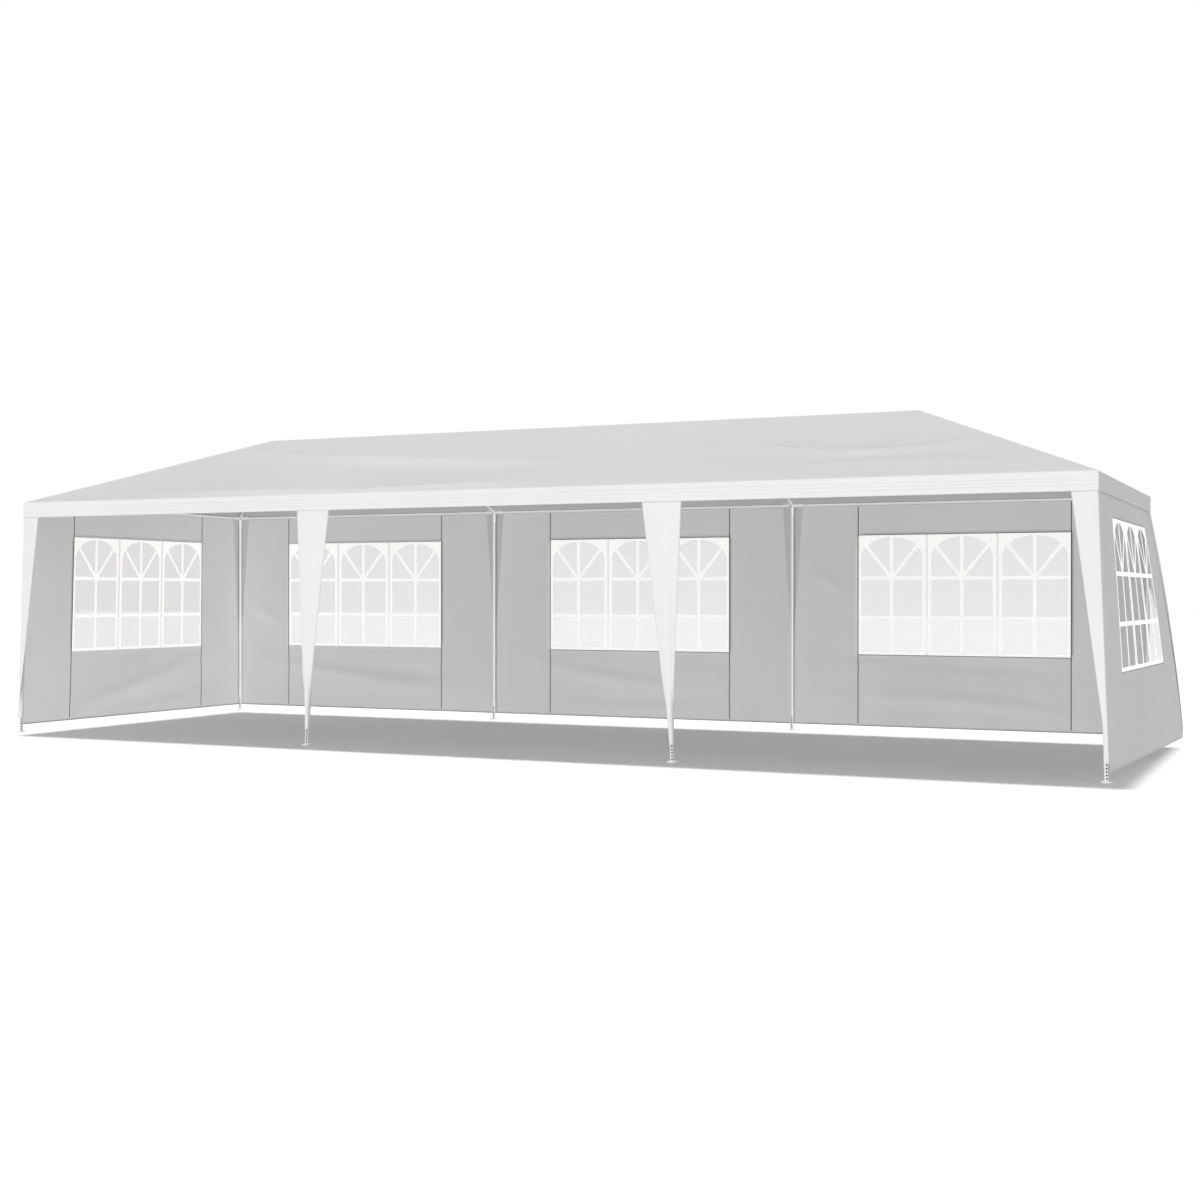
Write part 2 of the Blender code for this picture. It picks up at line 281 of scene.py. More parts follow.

# %% [markdown]
# ## Finishes
#
# The cover and walls are woven from flat plastic tapes with a thin film over them, so they
# have a fine square weave, a soft shine and shallow crumples. The tubes are powder coated,
# which leaves a faint orange peel, and their bore is bare steel, painted near black as the
# shade inside it. The connectors are moulded plastic. The windows are clear film with white
# bars. Each finish is a Principled BSDF with noise in its colour and roughness, and its
# relief comes from bump at the real scale. The weave follows a UV map in metres of cloth,
# so it runs with the threads on every sheet.

# %% Helpers for a finish
NOISE_LOW, NOISE_HIGH = 0.3, 0.7  # the usual range of Blender's noise
FIRST_COLOUR, SECOND_COLOUR, MIXED_COLOUR = 6, 7, 2  # a Mix node's sockets for colours


def cloud(tree, size, detail=3.0):
    """Soft noise whose blotches are about size metres across."""
    place = add_node(tree, "TexCoord").outputs["Object"]
    values = {"Vector": place, "Scale": 1 / size, "Detail": detail}
    return add_node(tree, "TexNoise", values).outputs["Fac"]


def drift(tree, size, low, high):
    """A value that drifts between low and high over blotches of that size."""
    return map_range(tree, cloud(tree, size), NOISE_LOW, NOISE_HIGH, low, high)


def tint(tree, factor, first, second):
    """A colour that runs from the first to the second with a factor from 0 to 1."""
    values = {0: factor, FIRST_COLOUR: first, SECOND_COLOUR: second}
    return add_node(tree, "Mix", values, data_type="RGBA").outputs[MIXED_COLOUR]


def relief(tree, height, depth, **under):
    """Bump of a real depth in metres, laid over an earlier one given as Normal."""
    values = {"Height": height, "Distance": depth, "Strength": 1.0, **under}
    return add_node(tree, "Bump", values).outputs["Normal"]


def clouded(name, colours, rough, bump=None):
    """A finish with drift in its colour and roughness, and a fine relief.

    colours and rough are the drift's size and its two ends, bump a size, detail and depth.
    """
    made, tree, shader = begin_finish(name)
    size, first, second = colours
    colour = tint(tree, drift(tree, size, 0, 1), first, second)
    wire(tree, shader, {"Base Color": colour, "Roughness": drift(tree, *rough)})
    if bump:
        size, detail, depth = bump
        wire(tree, shader, {"Normal": relief(tree, cloud(tree, size, detail), depth)})
    return made, tree, shader


# %% The woven cloth
WEAVE_PITCH = 0.003
WEAVE_DEPTH = 0.00012
WAVES_PER_UNIT = 20.0  # Blender's bands repeat every 2 pi / 20 of a unit
CRUMPLE_SIZE, CRUMPLE_DETAIL, CRUMPLE_DEPTH = 0.16, 4.0, 0.003
TONE_SIZE, SHINE_SIZE, SHINE_DRIFT, SPECULAR = 0.9, 0.12, 0.06, 0.35
BAND_EDGE, BAND_SHADE = 0.004, 0.78


def threads(tree, direction):
    """The rounded tapes of a weave that lie side by side in one direction."""
    metres = add_node(tree, "UVMap", uv_map="weave").outputs["UV"]
    values = {"Vector": metres, "Scale": math.tau / (WAVES_PER_UNIT * WEAVE_PITCH)}
    return add_node(tree, "TexWave", values, bands_direction=direction).outputs["Fac"]


def woven_cloth(name, light, dark, roughness, banded=False):
    """Laminated tape weave. A banded one has painted shade where a leg cover lies behind it."""
    rough = (SHINE_SIZE, roughness - SHINE_DRIFT, roughness + SHINE_DRIFT)
    made, tree, shader = clouded(name, (TONE_SIZE, grey(dark), grey(light)), rough)
    tapes = {0: threads(tree, "X"), 1: threads(tree, "Y")}
    woven = add_node(tree, "Math", tapes, operation="MULTIPLY").outputs[0]
    crumples = cloud(tree, CRUMPLE_SIZE, CRUMPLE_DETAIL)
    normal = relief(tree, crumples, CRUMPLE_DEPTH, Normal=relief(tree, woven, WEAVE_DEPTH))
    wire(tree, shader, {"Specular IOR Level": SPECULAR, "Normal": normal})
    # Painted shade: a darker band where a leg cover lies behind the wall.
    if banded:
        plain = shader.inputs["Base Color"].links[0].from_socket
        behind = add_node(tree, "Attribute", attribute_name="cover_shade_depth").outputs["Fac"]
        inside = map_range(tree, behind, -BAND_EDGE, BAND_EDGE, 0, 1)
        wire(tree, shader, {"Base Color": tint(tree, inside, plain, grey(light * BAND_SHADE))})
    return made


ROOF_CLOTH = woven_cloth("roof_cloth", 0.90, 0.87, 0.52)
# The underside is a greyer copy of the roof cloth: painted shade under the roof.
ROOF_UNDERSIDE_PAINTED_SHADE = woven_cloth("roof_underside_painted_shade", 0.80, 0.77, 0.58)
WALL_CLOTH = woven_cloth("wall_cloth", 0.90, 0.87, 0.58)
# A greyer copy of the wall cloth for the walls in shade, as painted shade, with the painted band
# of the leg covers' shade.
SHADED_WALL_CLOTH = woven_cloth("shaded_wall_cloth", 0.69, 0.66, 0.58, banded=True)
# Seams and hem lines seen from inside, painted dark as painted shade.
SEAM_PAINTED_SHADE = woven_cloth("seam_cloth_painted_shade", 0.11, 0.09, 0.7)
print("cloth finishes made")

# %% [markdown]
# ## Steel, plastic and window film
#
# These differ only in their greys, their shine and the size of their relief, so one helper
# makes them all. The film is that finish mixed with a clear one, as real film is mostly
# see-through and shows its face only where it shines. The bars are printed in white on the
# film, and daylight from behind makes them glow a little: an emission paints that glow on
# them, as painted light.

# %% Steel, plastic and window film
FILM_SEEN_THROUGH = 0.90
FILM_TINT = 0.92
BAR_GLOW = 0.27
BAR_COLOURS = ((0.90, 0.89, 0.87, 1), (0.93, 0.92, 0.90, 1))


def window_film():
    greys, rough = (0.3, grey(0.80), grey(0.86)), (0.2, 0.14, 0.26)
    made, tree, shader = clouded("window_film", greys, rough, (0.10, 2.0, 0.0015))
    clear = add_node(tree, "BsdfTransparent", {"Color": grey(FILM_TINT)}).outputs[0]
    mix = add_node(tree, "MixShader", {0: FILM_SEEN_THROUGH, 1: shader.outputs[0], 2: clear})
    wire(tree, tree.nodes["Material Output"], {"Surface": mix.outputs[0]})
    return made


def printed_white_and_glow():
    """The window bars: opaque white print, with a painted glow for the daylight from behind."""
    made, tree, shader = clouded("window_bar_white_and_glow", (0.2, *BAR_COLOURS), (0.05, 0.35, 0.5))
    # Painted light: the emission is a glow for daylight from behind, not a lamp.
    wire(tree, shader, {"Emission Color": (1.0, 0.99, 0.97, 1), "Emission Strength": BAR_GLOW})
    return made


coat = (0.25, grey(0.84), grey(0.90)), (0.03, 0.28, 0.40), (0.0025, 1.0, 0.00004)
steel = (0.02, grey(0.05), grey(0.09)), (0.01, 0.55, 0.75)
plastic = (0.05, grey(0.86), grey(0.91)), (0.008, 0.42, 0.55), (0.0012, 2.0, 0.00003)
POWDER_COAT = clouded("white_powder_coat", *coat)[0]
# Bare steel for the bore, painted near black as the shade inside it.
BARE_STEEL_AND_SHADE = clouded("bare_steel_and_shade", *steel)[0]
MOULDED_PLASTIC = clouded("white_moulded_plastic", *plastic)[0]
WINDOW_FILM = window_film()
WINDOW_BAR_WHITE_AND_GLOW = printed_white_and_glow()
print("finishes:", len(bpy.data.materials))

# %% [markdown]
# ## How a piece joins the tent
#
# Every new piece does the same things: it gets its mesh and its finish, it rides on the one
# fixed body, and it may stand for a plain solid, which is then hidden. One helper does all
# of them, so that no piece forgets one.

# %% Helper that adds a piece
CLOTH_T = 0.001


def add_piece(name, shape, finish, slot, *stands_for, sharp=None):
    """Makes a piece from a bmesh. Its edges over sharp degrees stay sharp."""
    mesh = mesh_of(name, shape)
    mesh.materials.append(finish)
    mesh.shade_smooth()
    if sharp:
        mesh.set_sharp_from_angle(angle=math.radians(sharp))
    piece = stand(name, mesh)
    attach(piece, "root")
    if stands_for:
        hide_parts(*stands_for)
    return piece


def thicken(piece, thickness=CLOTH_T):
    solid = piece.modifiers.new("thickness", "SOLIDIFY")
    solid.thickness = thickness
    solid.offset = 0.0
    return piece


# %% [markdown]
# ## Cloth as a grid
#
# A sheet of cloth is easiest as a grid whose points are placed by a function: the grid
# knows where its threads run, and the function bends it. A fold is a soft ridge that
# follows a curve through three points, from left to right. It is highest in the middle,
# dies away at both ends, and its cross-section is a rounded bell. A few such folds, laid
# where the photograph shows them, look more like hung cloth than noise alone does.

# %% Helpers for cloth
FADE_POWER = 1.5


def spread(low, high, count):
    return [low + (high - low) * k / count for k in range(count + 1)]


def smooth_step(low, high, value):
    t = min(1.0, max(0.0, (value - low) / (high - low)))
    return t * t * (3 - 2 * t)


def uneven(x, y, seed):
    """Smooth noise from -1 to 1 that changes about once in a unit."""
    return noise.noise(Vector((x, y, seed)))


def cloth_grid(columns, rows, place, metres=None):
    """A grid with its threads at the columns and rows, bent by place(column, row).

    metres(column, row) gives the weave's UV where the columns aren't metres of cloth.
    """
    shape = bmesh.new()
    across, along = len(columns) - 1, len(rows) - 1
    bmesh.ops.create_grid(shape, x_segments=across, y_segments=along, size=1)
    weave = shape.loops.layers.uv.new("weave")
    shape.verts.index_update()
    spots = []
    for vertex in shape.verts:
        column = columns[round((vertex.co.x + 1) / 2 * across)]
        row = rows[round((vertex.co.y + 1) / 2 * along)]
        spots.append(metres(column, row) if metres else (column, row))
        vertex.co = place(column, row)
    for face in shape.faces:
        for loop in face.loops:
            loop[weave].uv = spots[loop.vert.index]
    return shape


def fold_height(fold, x, z, flank):
    """How high a fold stands at a point: it runs through three points, left to right.

    Its upper flank is the share flank as wide as the lower one.
    """
    ((x0, z0), (x1, z1), (x2, z2)), depth, width = fold
    if not x0 < x < x2:
        return 0.0
    line = (
        z0 * (x - x1) * (x - x2) / ((x0 - x1) * (x0 - x2))
        + z1 * (x - x0) * (x - x2) / ((x1 - x0) * (x1 - x2))
        + z2 * (x - x0) * (x - x1) / ((x2 - x0) * (x2 - x1))
    )
    fade = math.sin(math.pi * (x - x0) / (x2 - x0)) ** FADE_POWER
    reach = width * flank if z > line else width
    return depth * fade * math.exp(-(((z - line) / reach) ** 2))


def folds_at(folds, x, z, flank=1.0):
    return sum(fold_height(fold, x, z, flank) for fold in folds)


# %% [markdown]
# ## Roof and valance
#
# The roof is one cover: four slopes that meet at the hips and the ridge, and a valance
# that hangs 13 cm below the eave all round. Cloth has no sharp eave, so each slope's grid
# runs on over the edge in a small curl and down as the valance. Between the rafters it
# sags a little, and long soft creases run over it. The four strips have the same rows, so
# their ends coincide at the hips and are merged into one continuous sheet. Its underside
# is painted greyer than the same cloth outside, as painted shade under the roof, and the
# Solidify modifier that gives the sheet its thickness can hand that second finish to the
# inner face.

# %% Main lines of the roof
roof_low, roof_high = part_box("roof_cover")
HALF_LENGTH = (roof_high.x - roof_low.x) / 2
HALF_DEPTH = (roof_high.y - roof_low.y) / 2
EDGE_Z = roof_low.z
TOP_Z = roof_high.z - CLOTH_T
RIDGE_HALF = HALF_LENGTH - HALF_DEPTH
RAFTER_X = POST_X[2] - CENTRE_X
SLOPE_LENGTH = math.hypot(HALF_DEPTH, TOP_Z - EDGE_Z)
VALANCE_DROP = EDGE_Z - VALANCE_LOW
print(f"slope {SLOPE_LENGTH:.2f} m, valance {VALANCE_DROP:.3f} m, ridge {2 * RIDGE_HALF:.2f} m")

# %% [markdown]
# ## Creases on the slopes
#
# Each crease is given by three points, as metres along the eave from the tent's middle
# and the share of the way up the slope, with its height and its width in metres. The
# front ones follow the photograph: two long smiles that start at the left hip, and one
# under the right end of the ridge. Each has a steep upper flank, which stays a thin dark
# line, and a wide lower one that catches the light. The back and the ends, which it
# doesn't show, get fewer of the same kind.

# %% Creases
FRONT_CREASES = [
    (((-3.4, 0.90), (-1.4, 0.56), (1.5, 0.50)), 0.040, 0.160),
    (((-4.0, 0.28), (-1.5, 0.03), (1.5, 0.27)), 0.036, 0.150),
    (((1.6, 0.70), (2.5, 0.44), (3.9, 0.62)), 0.020, 0.130),
    (((2.0, 0.14), (3.3, 0.26), (4.3, 0.10)), 0.008, 0.120),
]
BACK_CREASES = [
    (((-3.3, 0.80), (-1.8, 0.45), (0.2, 0.55)), 0.012, 0.130),
    (((-1.0, 0.30), (1.0, 0.12), (3.6, 0.35)), 0.012, 0.130),
    (((0.4, 0.92), (1.8, 0.62), (3.0, 0.90)), 0.012, 0.120),
]
END_CREASES = [
    (((-1.2, 0.10), (0.0, 0.34), (1.2, 0.14)), 0.009, 0.120),
    (((-0.6, 0.55), (0.1, 0.42), (0.6, 0.58)), 0.007, 0.110),
]


def up_the_slope(creases):
    """The same creases with their shares of the slope as metres of cloth."""
    return [
        (tuple((x, up * SLOPE_LENGTH) for x, up in points), depth, width)
        for points, depth, width in creases
    ]


# %% [markdown]
# ## The sheet's profile at the eave
#
# Followed down from the ridge, the sheet runs along the slope, turns over the eave in a
# curl of about a centimetre and hangs as the valance. The curl is a quadratic curve. The
# valance has long level creases, as it keeps the folds of its packing, and its bottom is
# turned up into a hem. At the four corners they fade, so that the sides meet there.

# %% Helpers for the eave and the valance
CURL = 0.012
HEM_DEPTH = 0.016
HEM_PROUD = 0.0009
ROWS = (60, 5, 28, 3)
CREASES_AT = (0.16, 0.31, 0.47, 0.66)
CREASE_DEPTH = 0.0034
CREASE_HALF = 0.0048
CREASE_WANDER, WANDERS_PER_METRE = 0.006, 0.35
USUAL_STRENGTH, STRENGTH_CHANGE, CHANGES_PER_METRE = 0.5, 0.9, 0.45
RIPPLE, RIPPLE_OUT = 0.0024, 0.002
RIPPLES_ALONG, RIPPLES_DOWN = 2.6, 7
CORNER_CALM, CALM_TO = 0.05, 0.03


def sheet_rows():
    """Distances down the sheet from the ridge: the slope, the curl, the valance, its hem."""
    stops = [0.0, SLOPE_LENGTH - CURL, SLOPE_LENGTH + CURL]
    stops += [SLOPE_LENGTH + VALANCE_DROP - HEM_DEPTH, SLOPE_LENGTH + VALANCE_DROP]
    rows = [0.0]
    for low, high, count in zip(stops, stops[1:], ROWS):
        rows += spread(low, high, count)[1:]
    return rows


def eave_profile(down):
    """How far out from the eave the sheet is, and how high, at a distance down it."""
    past = down - SLOPE_LENGTH
    run, fall = HALF_DEPTH / SLOPE_LENGTH, (TOP_Z - EDGE_Z) / SLOPE_LENGTH
    if past <= -CURL:
        return past * run, EDGE_Z - past * fall
    if past < CURL:
        before, after = ((CURL - past) / (2 * CURL)) ** 2, ((CURL + past) / (2 * CURL)) ** 2
        return -CURL * run * before, EDGE_Z + CURL * (fall * before - after)
    hem = HEM_PROUD if past > VALANCE_DROP - HEM_DEPTH else 0.0
    return hem, EDGE_Z - past


def valance_relief(along, past, to_corner, seed):
    """Level creases of packing, here strong and there faint, on a slight ripple.

    Each crease reads a part of the noise of its own.
    """
    calm = smooth_step(0.0, CORNER_CALM, to_corner) * smooth_step(CURL, CALM_TO, past)
    if calm == 0.0:
        return 0.0
    stands = RIPPLE * uneven(along * RIPPLES_ALONG, past * RIPPLES_DOWN, seed + 5) + RIPPLE_OUT
    for number, share in enumerate(CREASES_AT):
        wander = CREASE_WANDER * uneven(along * WANDERS_PER_METRE, number * 9.0, seed)
        change = STRENGTH_CHANGE * uneven(along * CHANGES_PER_METRE, number * 7.0, seed + 2)
        off = (past - share * VALANCE_DROP - wander) / CREASE_HALF
        stands += CREASE_DEPTH * max(0.0, USUAL_STRENGTH + change) * math.exp(-off * off)
    return calm * stands


# %% [markdown]
# ## One slope at a time
#
# All four slopes come from one function, which draws a slope that faces the front. It is
# then turned to its side: half a turn for the back, a quarter for the ends. Its columns
# run from the eave to the ridge between the stops where tubes hold it up, so on a long
# side they follow the rafters and the hips, and on an end they meet in one point. The cloth
# may rise off a tube but not sink into it, so what would lower it fades out at the stops.

# %% Helper for one slope
SAG = 0.020
UNEVEN, UNEVEN_SIZE = 0.004, 0.8
STEEP_FLANK = 0.42
HELD_BY_STOP = 0.06
HELD_BY_HIP, HELD_BY_EAVE, HELD_BY_RIDGE = 0.2, 0.08, 0.06
THREAD_GAP = 0.052


def between_stops(stops, column):
    """The place of a column, where whole numbers are the stops themselves."""
    bay = min(int(column), len(stops) - 2)
    return stops[bay] + (stops[bay + 1] - stops[bay]) * (column - bay)


def slope_strip(eave_stops, ridge_stops, reach, creases, seed, angle):
    """A slope and its valance. reach is how far its eave is from the tent's middle."""
    columns = [0.0]
    for bay, (low, high) in enumerate(zip(eave_stops, eave_stops[1:])):
        columns += spread(bay, bay + 1, round((high - low) / THREAD_GAP))[1:]
    creases = up_the_slope(creases)
    turn = Matrix.Translation((CENTRE_X, 0, 0)) @ Matrix.Rotation(angle, 4, "Z")
    half = eave_stops[-1]

    def along_at(column, down):
        out, _ = eave_profile(down)
        up = max(0.0, -out / HALF_DEPTH)
        eave, ridge = between_stops(eave_stops, column), between_stops(ridge_stops, column)
        return (eave + (ridge - eave) * up) * (1 + max(0.0, out) / half)

    def place(column, down):
        out, z = eave_profile(down)
        up = max(0.0, -out / HALF_DEPTH)
        along = along_at(column, down)
        to_corner = along_at(len(eave_stops) - 1, down) - abs(along)
        proud = valance_relief(along, down - SLOPE_LENGTH, to_corner, seed)
        if up > 0:
            bay = column - min(int(column), len(eave_stops) - 2)
            z -= SAG * math.sin(math.pi * bay) * math.sin(math.pi * up)
            calm = smooth_step(0, HELD_BY_HIP, to_corner) * smooth_step(0, HELD_BY_EAVE, up)
            calm *= smooth_step(0, HELD_BY_RIDGE, 1 - up)
            climb = up * SLOPE_LENGTH
            lift = folds_at(creases, along, climb, STEEP_FLANK)
            lift += UNEVEN * uneven(along / UNEVEN_SIZE, climb / UNEVEN_SIZE, seed)
            if lift < 0:
                calm *= smooth_step(0, HELD_BY_STOP, min(bay, 1 - bay))
            z += calm * lift
        return turn @ Vector((along, -(reach + out + proud), z))

    return cloth_grid(columns, sheet_rows(), place, lambda c, down: (along_at(c, down), down))


# %% Make the roof sheet
MERGE_WITHIN = 0.0004


def joined_slopes():
    long_eave = [-HALF_LENGTH, -RAFTER_X, RAFTER_X, HALF_LENGTH]
    long_ridge = [-RIDGE_HALF, -RAFTER_X, RAFTER_X, RIDGE_HALF]
    end_eave, end_ridge = [-HALF_DEPTH, HALF_DEPTH], [0.0, 0.0]
    strips = [
        (long_eave, long_ridge, HALF_DEPTH, FRONT_CREASES, 1.3, 0.0),
        (end_eave, end_ridge, HALF_LENGTH, END_CREASES, 2.6, math.pi / 2),
        (long_eave, long_ridge, HALF_DEPTH, BACK_CREASES, 3.9, math.pi),
        (end_eave, end_ridge, HALF_LENGTH, END_CREASES, 5.2, -math.pi / 2),
    ]
    joined = bmesh.new()
    for strip in strips:
        merge(joined, slope_strip(*strip))
    bmesh.ops.remove_doubles(joined, verts=joined.verts, dist=MERGE_WITHIN)
    bmesh.ops.recalc_face_normals(joined, faces=joined.faces)
    return joined


covered = ("roof_cover", "valance")
roof = add_piece("roof_sheet", joined_slopes(), ROOF_CLOTH, "roof_cloth", *covered, sharp=17)
# The inner face gets the greyer copy, as painted shade.
roof.data.materials.append(ROOF_UNDERSIDE_PAINTED_SHADE)
thicken(roof).modifiers["thickness"].material_offset = 1
roof_alone.objects.link(roof)

# %% [markdown]
# ## Where the walls hang
#
# Five wall panels hang from the eave. The three at the back are plumb. The left one
# follows the front post, which leans out towards its foot, and the right one also swings
# out at its loose back corner, most of all near the hem. Each wall gets a function that
# turns metres along it and height into a place, so that everything on it, from cloth to
# window bars, is drawn flat and bent by the same rule.

# %% Helpers that place a point on a wall
BAY = POST_X[1] - POST_X[0]
HALF_BAY = BAY / 2
WALL_GAP = middle_of("back_middle_wall").y - BACK_Y
WALL_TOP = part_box("back_middle_wall")[1].z
SOLID_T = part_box("back_middle_wall")[1].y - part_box("back_middle_wall")[0].y
SWUNG = "right_end"
HEM_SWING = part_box(f"{SWUNG}_wall")[1].x - SOLID_T / 2 - POST_X[3] - WALL_GAP
SWING_BEND = 0.4
EAST, NORTH = Vector((1, 0, 0)), Vector((0, 1, 0))


def drop_at(z):
    """0 behind the valance and 1 at the ground, for what hangs free below it."""
    return max(0.0, 1 - z / VALANCE_LOW)


def plumb(y, z):
    """The rule for a wall that doesn't lean, whatever the place."""
    return 0.0


def leaning(y, z):
    """The lean of the front post, less and less towards the plumb back post."""
    return SPLAY * drop_at(z) * (BACK_Y - y) / (BACK_Y - FRONT_Y)


def swinging(y, z):
    """The same lean, with the back corner swung out near the hem."""
    drop = drop_at(z) / drop_at(HEM_Z)
    swing = HEM_SWING * drop * (1 + SWING_BEND - SWING_BEND * drop)
    return leaning(y, z) + swing * (y - FRONT_Y) / (BACK_Y - FRONT_Y)


def on_wall(x, y, along, outward, stand_out):
    """A function that turns metres along a wall and a height into a place."""

    def at(u, z, proud=0.0):
        spot = Vector((x, y, 0)) + along * u
        spot += outward * (stand_out(spot.y, z) + proud)
        return Vector((spot.x, spot.y, z))

    return at


BACK_LINE = BACK_Y + WALL_GAP
MID_Y = (FRONT_Y + BACK_Y) / 2
PLACES = {
    "back_left": on_wall(POST_X[0] + HALF_BAY, BACK_LINE, EAST, NORTH, plumb),
    "back_middle": on_wall(CENTRE_X, BACK_LINE, EAST, NORTH, plumb),
    "back_right": on_wall(POST_X[3] - HALF_BAY, BACK_LINE, EAST, NORTH, plumb),
    "left_end": on_wall(POST_X[0] - WALL_GAP, MID_Y, NORTH, -EAST, leaning),
    SWUNG: on_wall(POST_X[3] + WALL_GAP, MID_Y, NORTH, EAST, swinging),
}
print(f"walls from {HEM_Z:.2f} to {WALL_TOP:.3f} m, loose corner {HEM_SWING:.3f} m out")

# %% [markdown]
# ## Folds in the walls
#
# The walls were packed folded, so they keep long shallow folds that run across them, below
# the windows and a few above. They are drawn in metres along each wall from its middle, and
# in height. The folds die away at the posts and round the window, where the cloth is held,
# and everything hangs a touch outwards, away from the posts inside.

# %% The folds of each wall
WALL_FOLDS = {
    "back_left": [
        (((-1.45, 0.56), (-0.4, 0.42), (0.9, 0.33)), 0.014, 0.050),
        (((-1.40, 1.12), (-1.2, 1.00), (-0.95, 0.92)), 0.008, 0.060),
        (((-0.9, 0.22), (0.3, 0.30), (1.4, 0.24)), 0.009, 0.050),
        (((-0.2, 0.52), (0.7, 0.44), (1.45, 0.52)), -0.007, 0.060),
    ],
    "back_middle": [
        (((-1.45, 0.67), (-0.4, 0.44), (1.0, 0.41)), 0.013, 0.050),
        (((-1.2, 0.28), (0.0, 0.24), (1.3, 0.34)), -0.008, 0.055),
        (((-0.3, 0.53), (0.6, 0.50), (1.45, 0.58)), 0.007, 0.050),
    ],
    "back_right": [
        (((-1.45, 0.48), (-0.9, 0.58), (-0.3, 0.68)), 0.008, 0.060),
        (((-1.45, 0.29), (-0.4, 0.31), (1.25, 0.15)), 0.013, 0.050),
        (((-0.9, 0.54), (0.0, 0.62), (1.1, 0.50)), -0.010, 0.055),
        (((-1.4, 1.46), (-1.2, 1.32), (-0.95, 1.25)), 0.007, 0.050),
    ],
    "left_end": [
        (((-1.2, 0.09), (-0.2, 0.30), (1.3, 0.63)), 0.012, 0.060),
        (((-1.1, 0.52), (0.0, 0.66), (1.4, 0.88)), -0.008, 0.070),
        (((-0.5, 0.14), (0.4, 0.24), (1.4, 0.34)), -0.008, 0.050),
    ],
    SWUNG: [
        (((-1.3, 0.50), (0.0, 0.42), (1.4, 0.55)), 0.008, 0.070),
        (((-1.2, 0.20), (0.1, 0.26), (1.3, 0.18)), 0.007, 0.060),
    ],
}
WINDOW_HALF = 0.9
window_low, window_high = (corner.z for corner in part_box("back_middle_window"))
WINDOW_H = window_high - window_low
FOLD_DEPTH = 1.6
BAG, BAG_SIZE, BAG_SEED = 0.003, 0.35, 7.0
HELD_FLAT, HELD_ROUND_WINDOW = 0.01, 0.09
HELD_BY_POST, HELD_BY_RAIL, HELD_BY_SEAM = 0.16, 0.12, 0.12
print("folds:", sum(len(folds) for folds in WALL_FOLDS.values()))

# %% [markdown]
# ## The wall panels
#
# A panel is a grid whose lines run exactly along the window, so that the opening is a
# matter of deleting faces. Behind each back post the leg cover outside lies against the
# wall and shades it. That shape narrows downwards, and it can't be seen from inside except
# as a darker band in the cloth, so each point keeps how deep it lies in the band and the
# finish draws the band's edge from that, as painted shade. The four walls that the
# photograph shows from inside are in their own shade, which is painted into a greyer copy
# of the wall cloth. The right one is seen from outside, in the same daylight as the roof,
# so it gets the lighter cloth. Its loose corner is rounded.

# %% Helpers for a wall panel
WALL_THREAD = 0.035
HEM_H = 0.022
BAND_HALF = 0.09
BAND_TOP = 1.95
BAND_LOW = 0.68
LOOSE_CORNER_R = 0.07


def evenly(low, high, step):
    return spread(low, high, max(1, round((high - low) / step)))


def evenly_through(stops, step):
    """Lines about a step apart that run exactly through all the stops."""
    lines = stops[:1]
    for low, high in zip(stops, stops[1:]):
        lines += evenly(low, high, step)[1:]
    return lines


def wall_relief(name, u, z, left, right):
    """How proud the cloth stands of its plain surface, in metres."""
    past_side = max(abs(u) - WINDOW_HALF, 0.0)
    past_edge = max(window_low - z, z - window_high, 0.0)
    calm = smooth_step(HELD_FLAT, HELD_ROUND_WINDOW, math.hypot(past_side, past_edge))
    calm *= smooth_step(0.0, HELD_BY_POST, u - left) * smooth_step(0.0, HELD_BY_POST, right - u)
    calm *= smooth_step(0.0, HELD_BY_RAIL, WALL_TOP - z)
    calm *= 0.5 + 0.5 * smooth_step(0.0, HELD_BY_SEAM, abs(abs(u) - WINDOW_HALF))
    folds = FOLD_DEPTH * folds_at(WALL_FOLDS[name], u, z)
    bag = BAG * (1 + uneven(u / BAG_SIZE, z / BAG_SIZE, BAG_SEED + len(name)))
    return calm * (folds + bag)


def rounded_corner(u, z, right):
    """Pulls a point of the loose corner's square into its rounding."""
    middle_u, middle_z = right - LOOSE_CORNER_R, HEM_Z + LOOSE_CORNER_R
    in_u, in_z = u - middle_u, middle_z - z
    if min(in_u, in_z) <= 0:
        return u, z
    pull = max(in_u, in_z) / math.hypot(in_u, in_z)
    return middle_u + in_u * pull, middle_z - in_z * pull


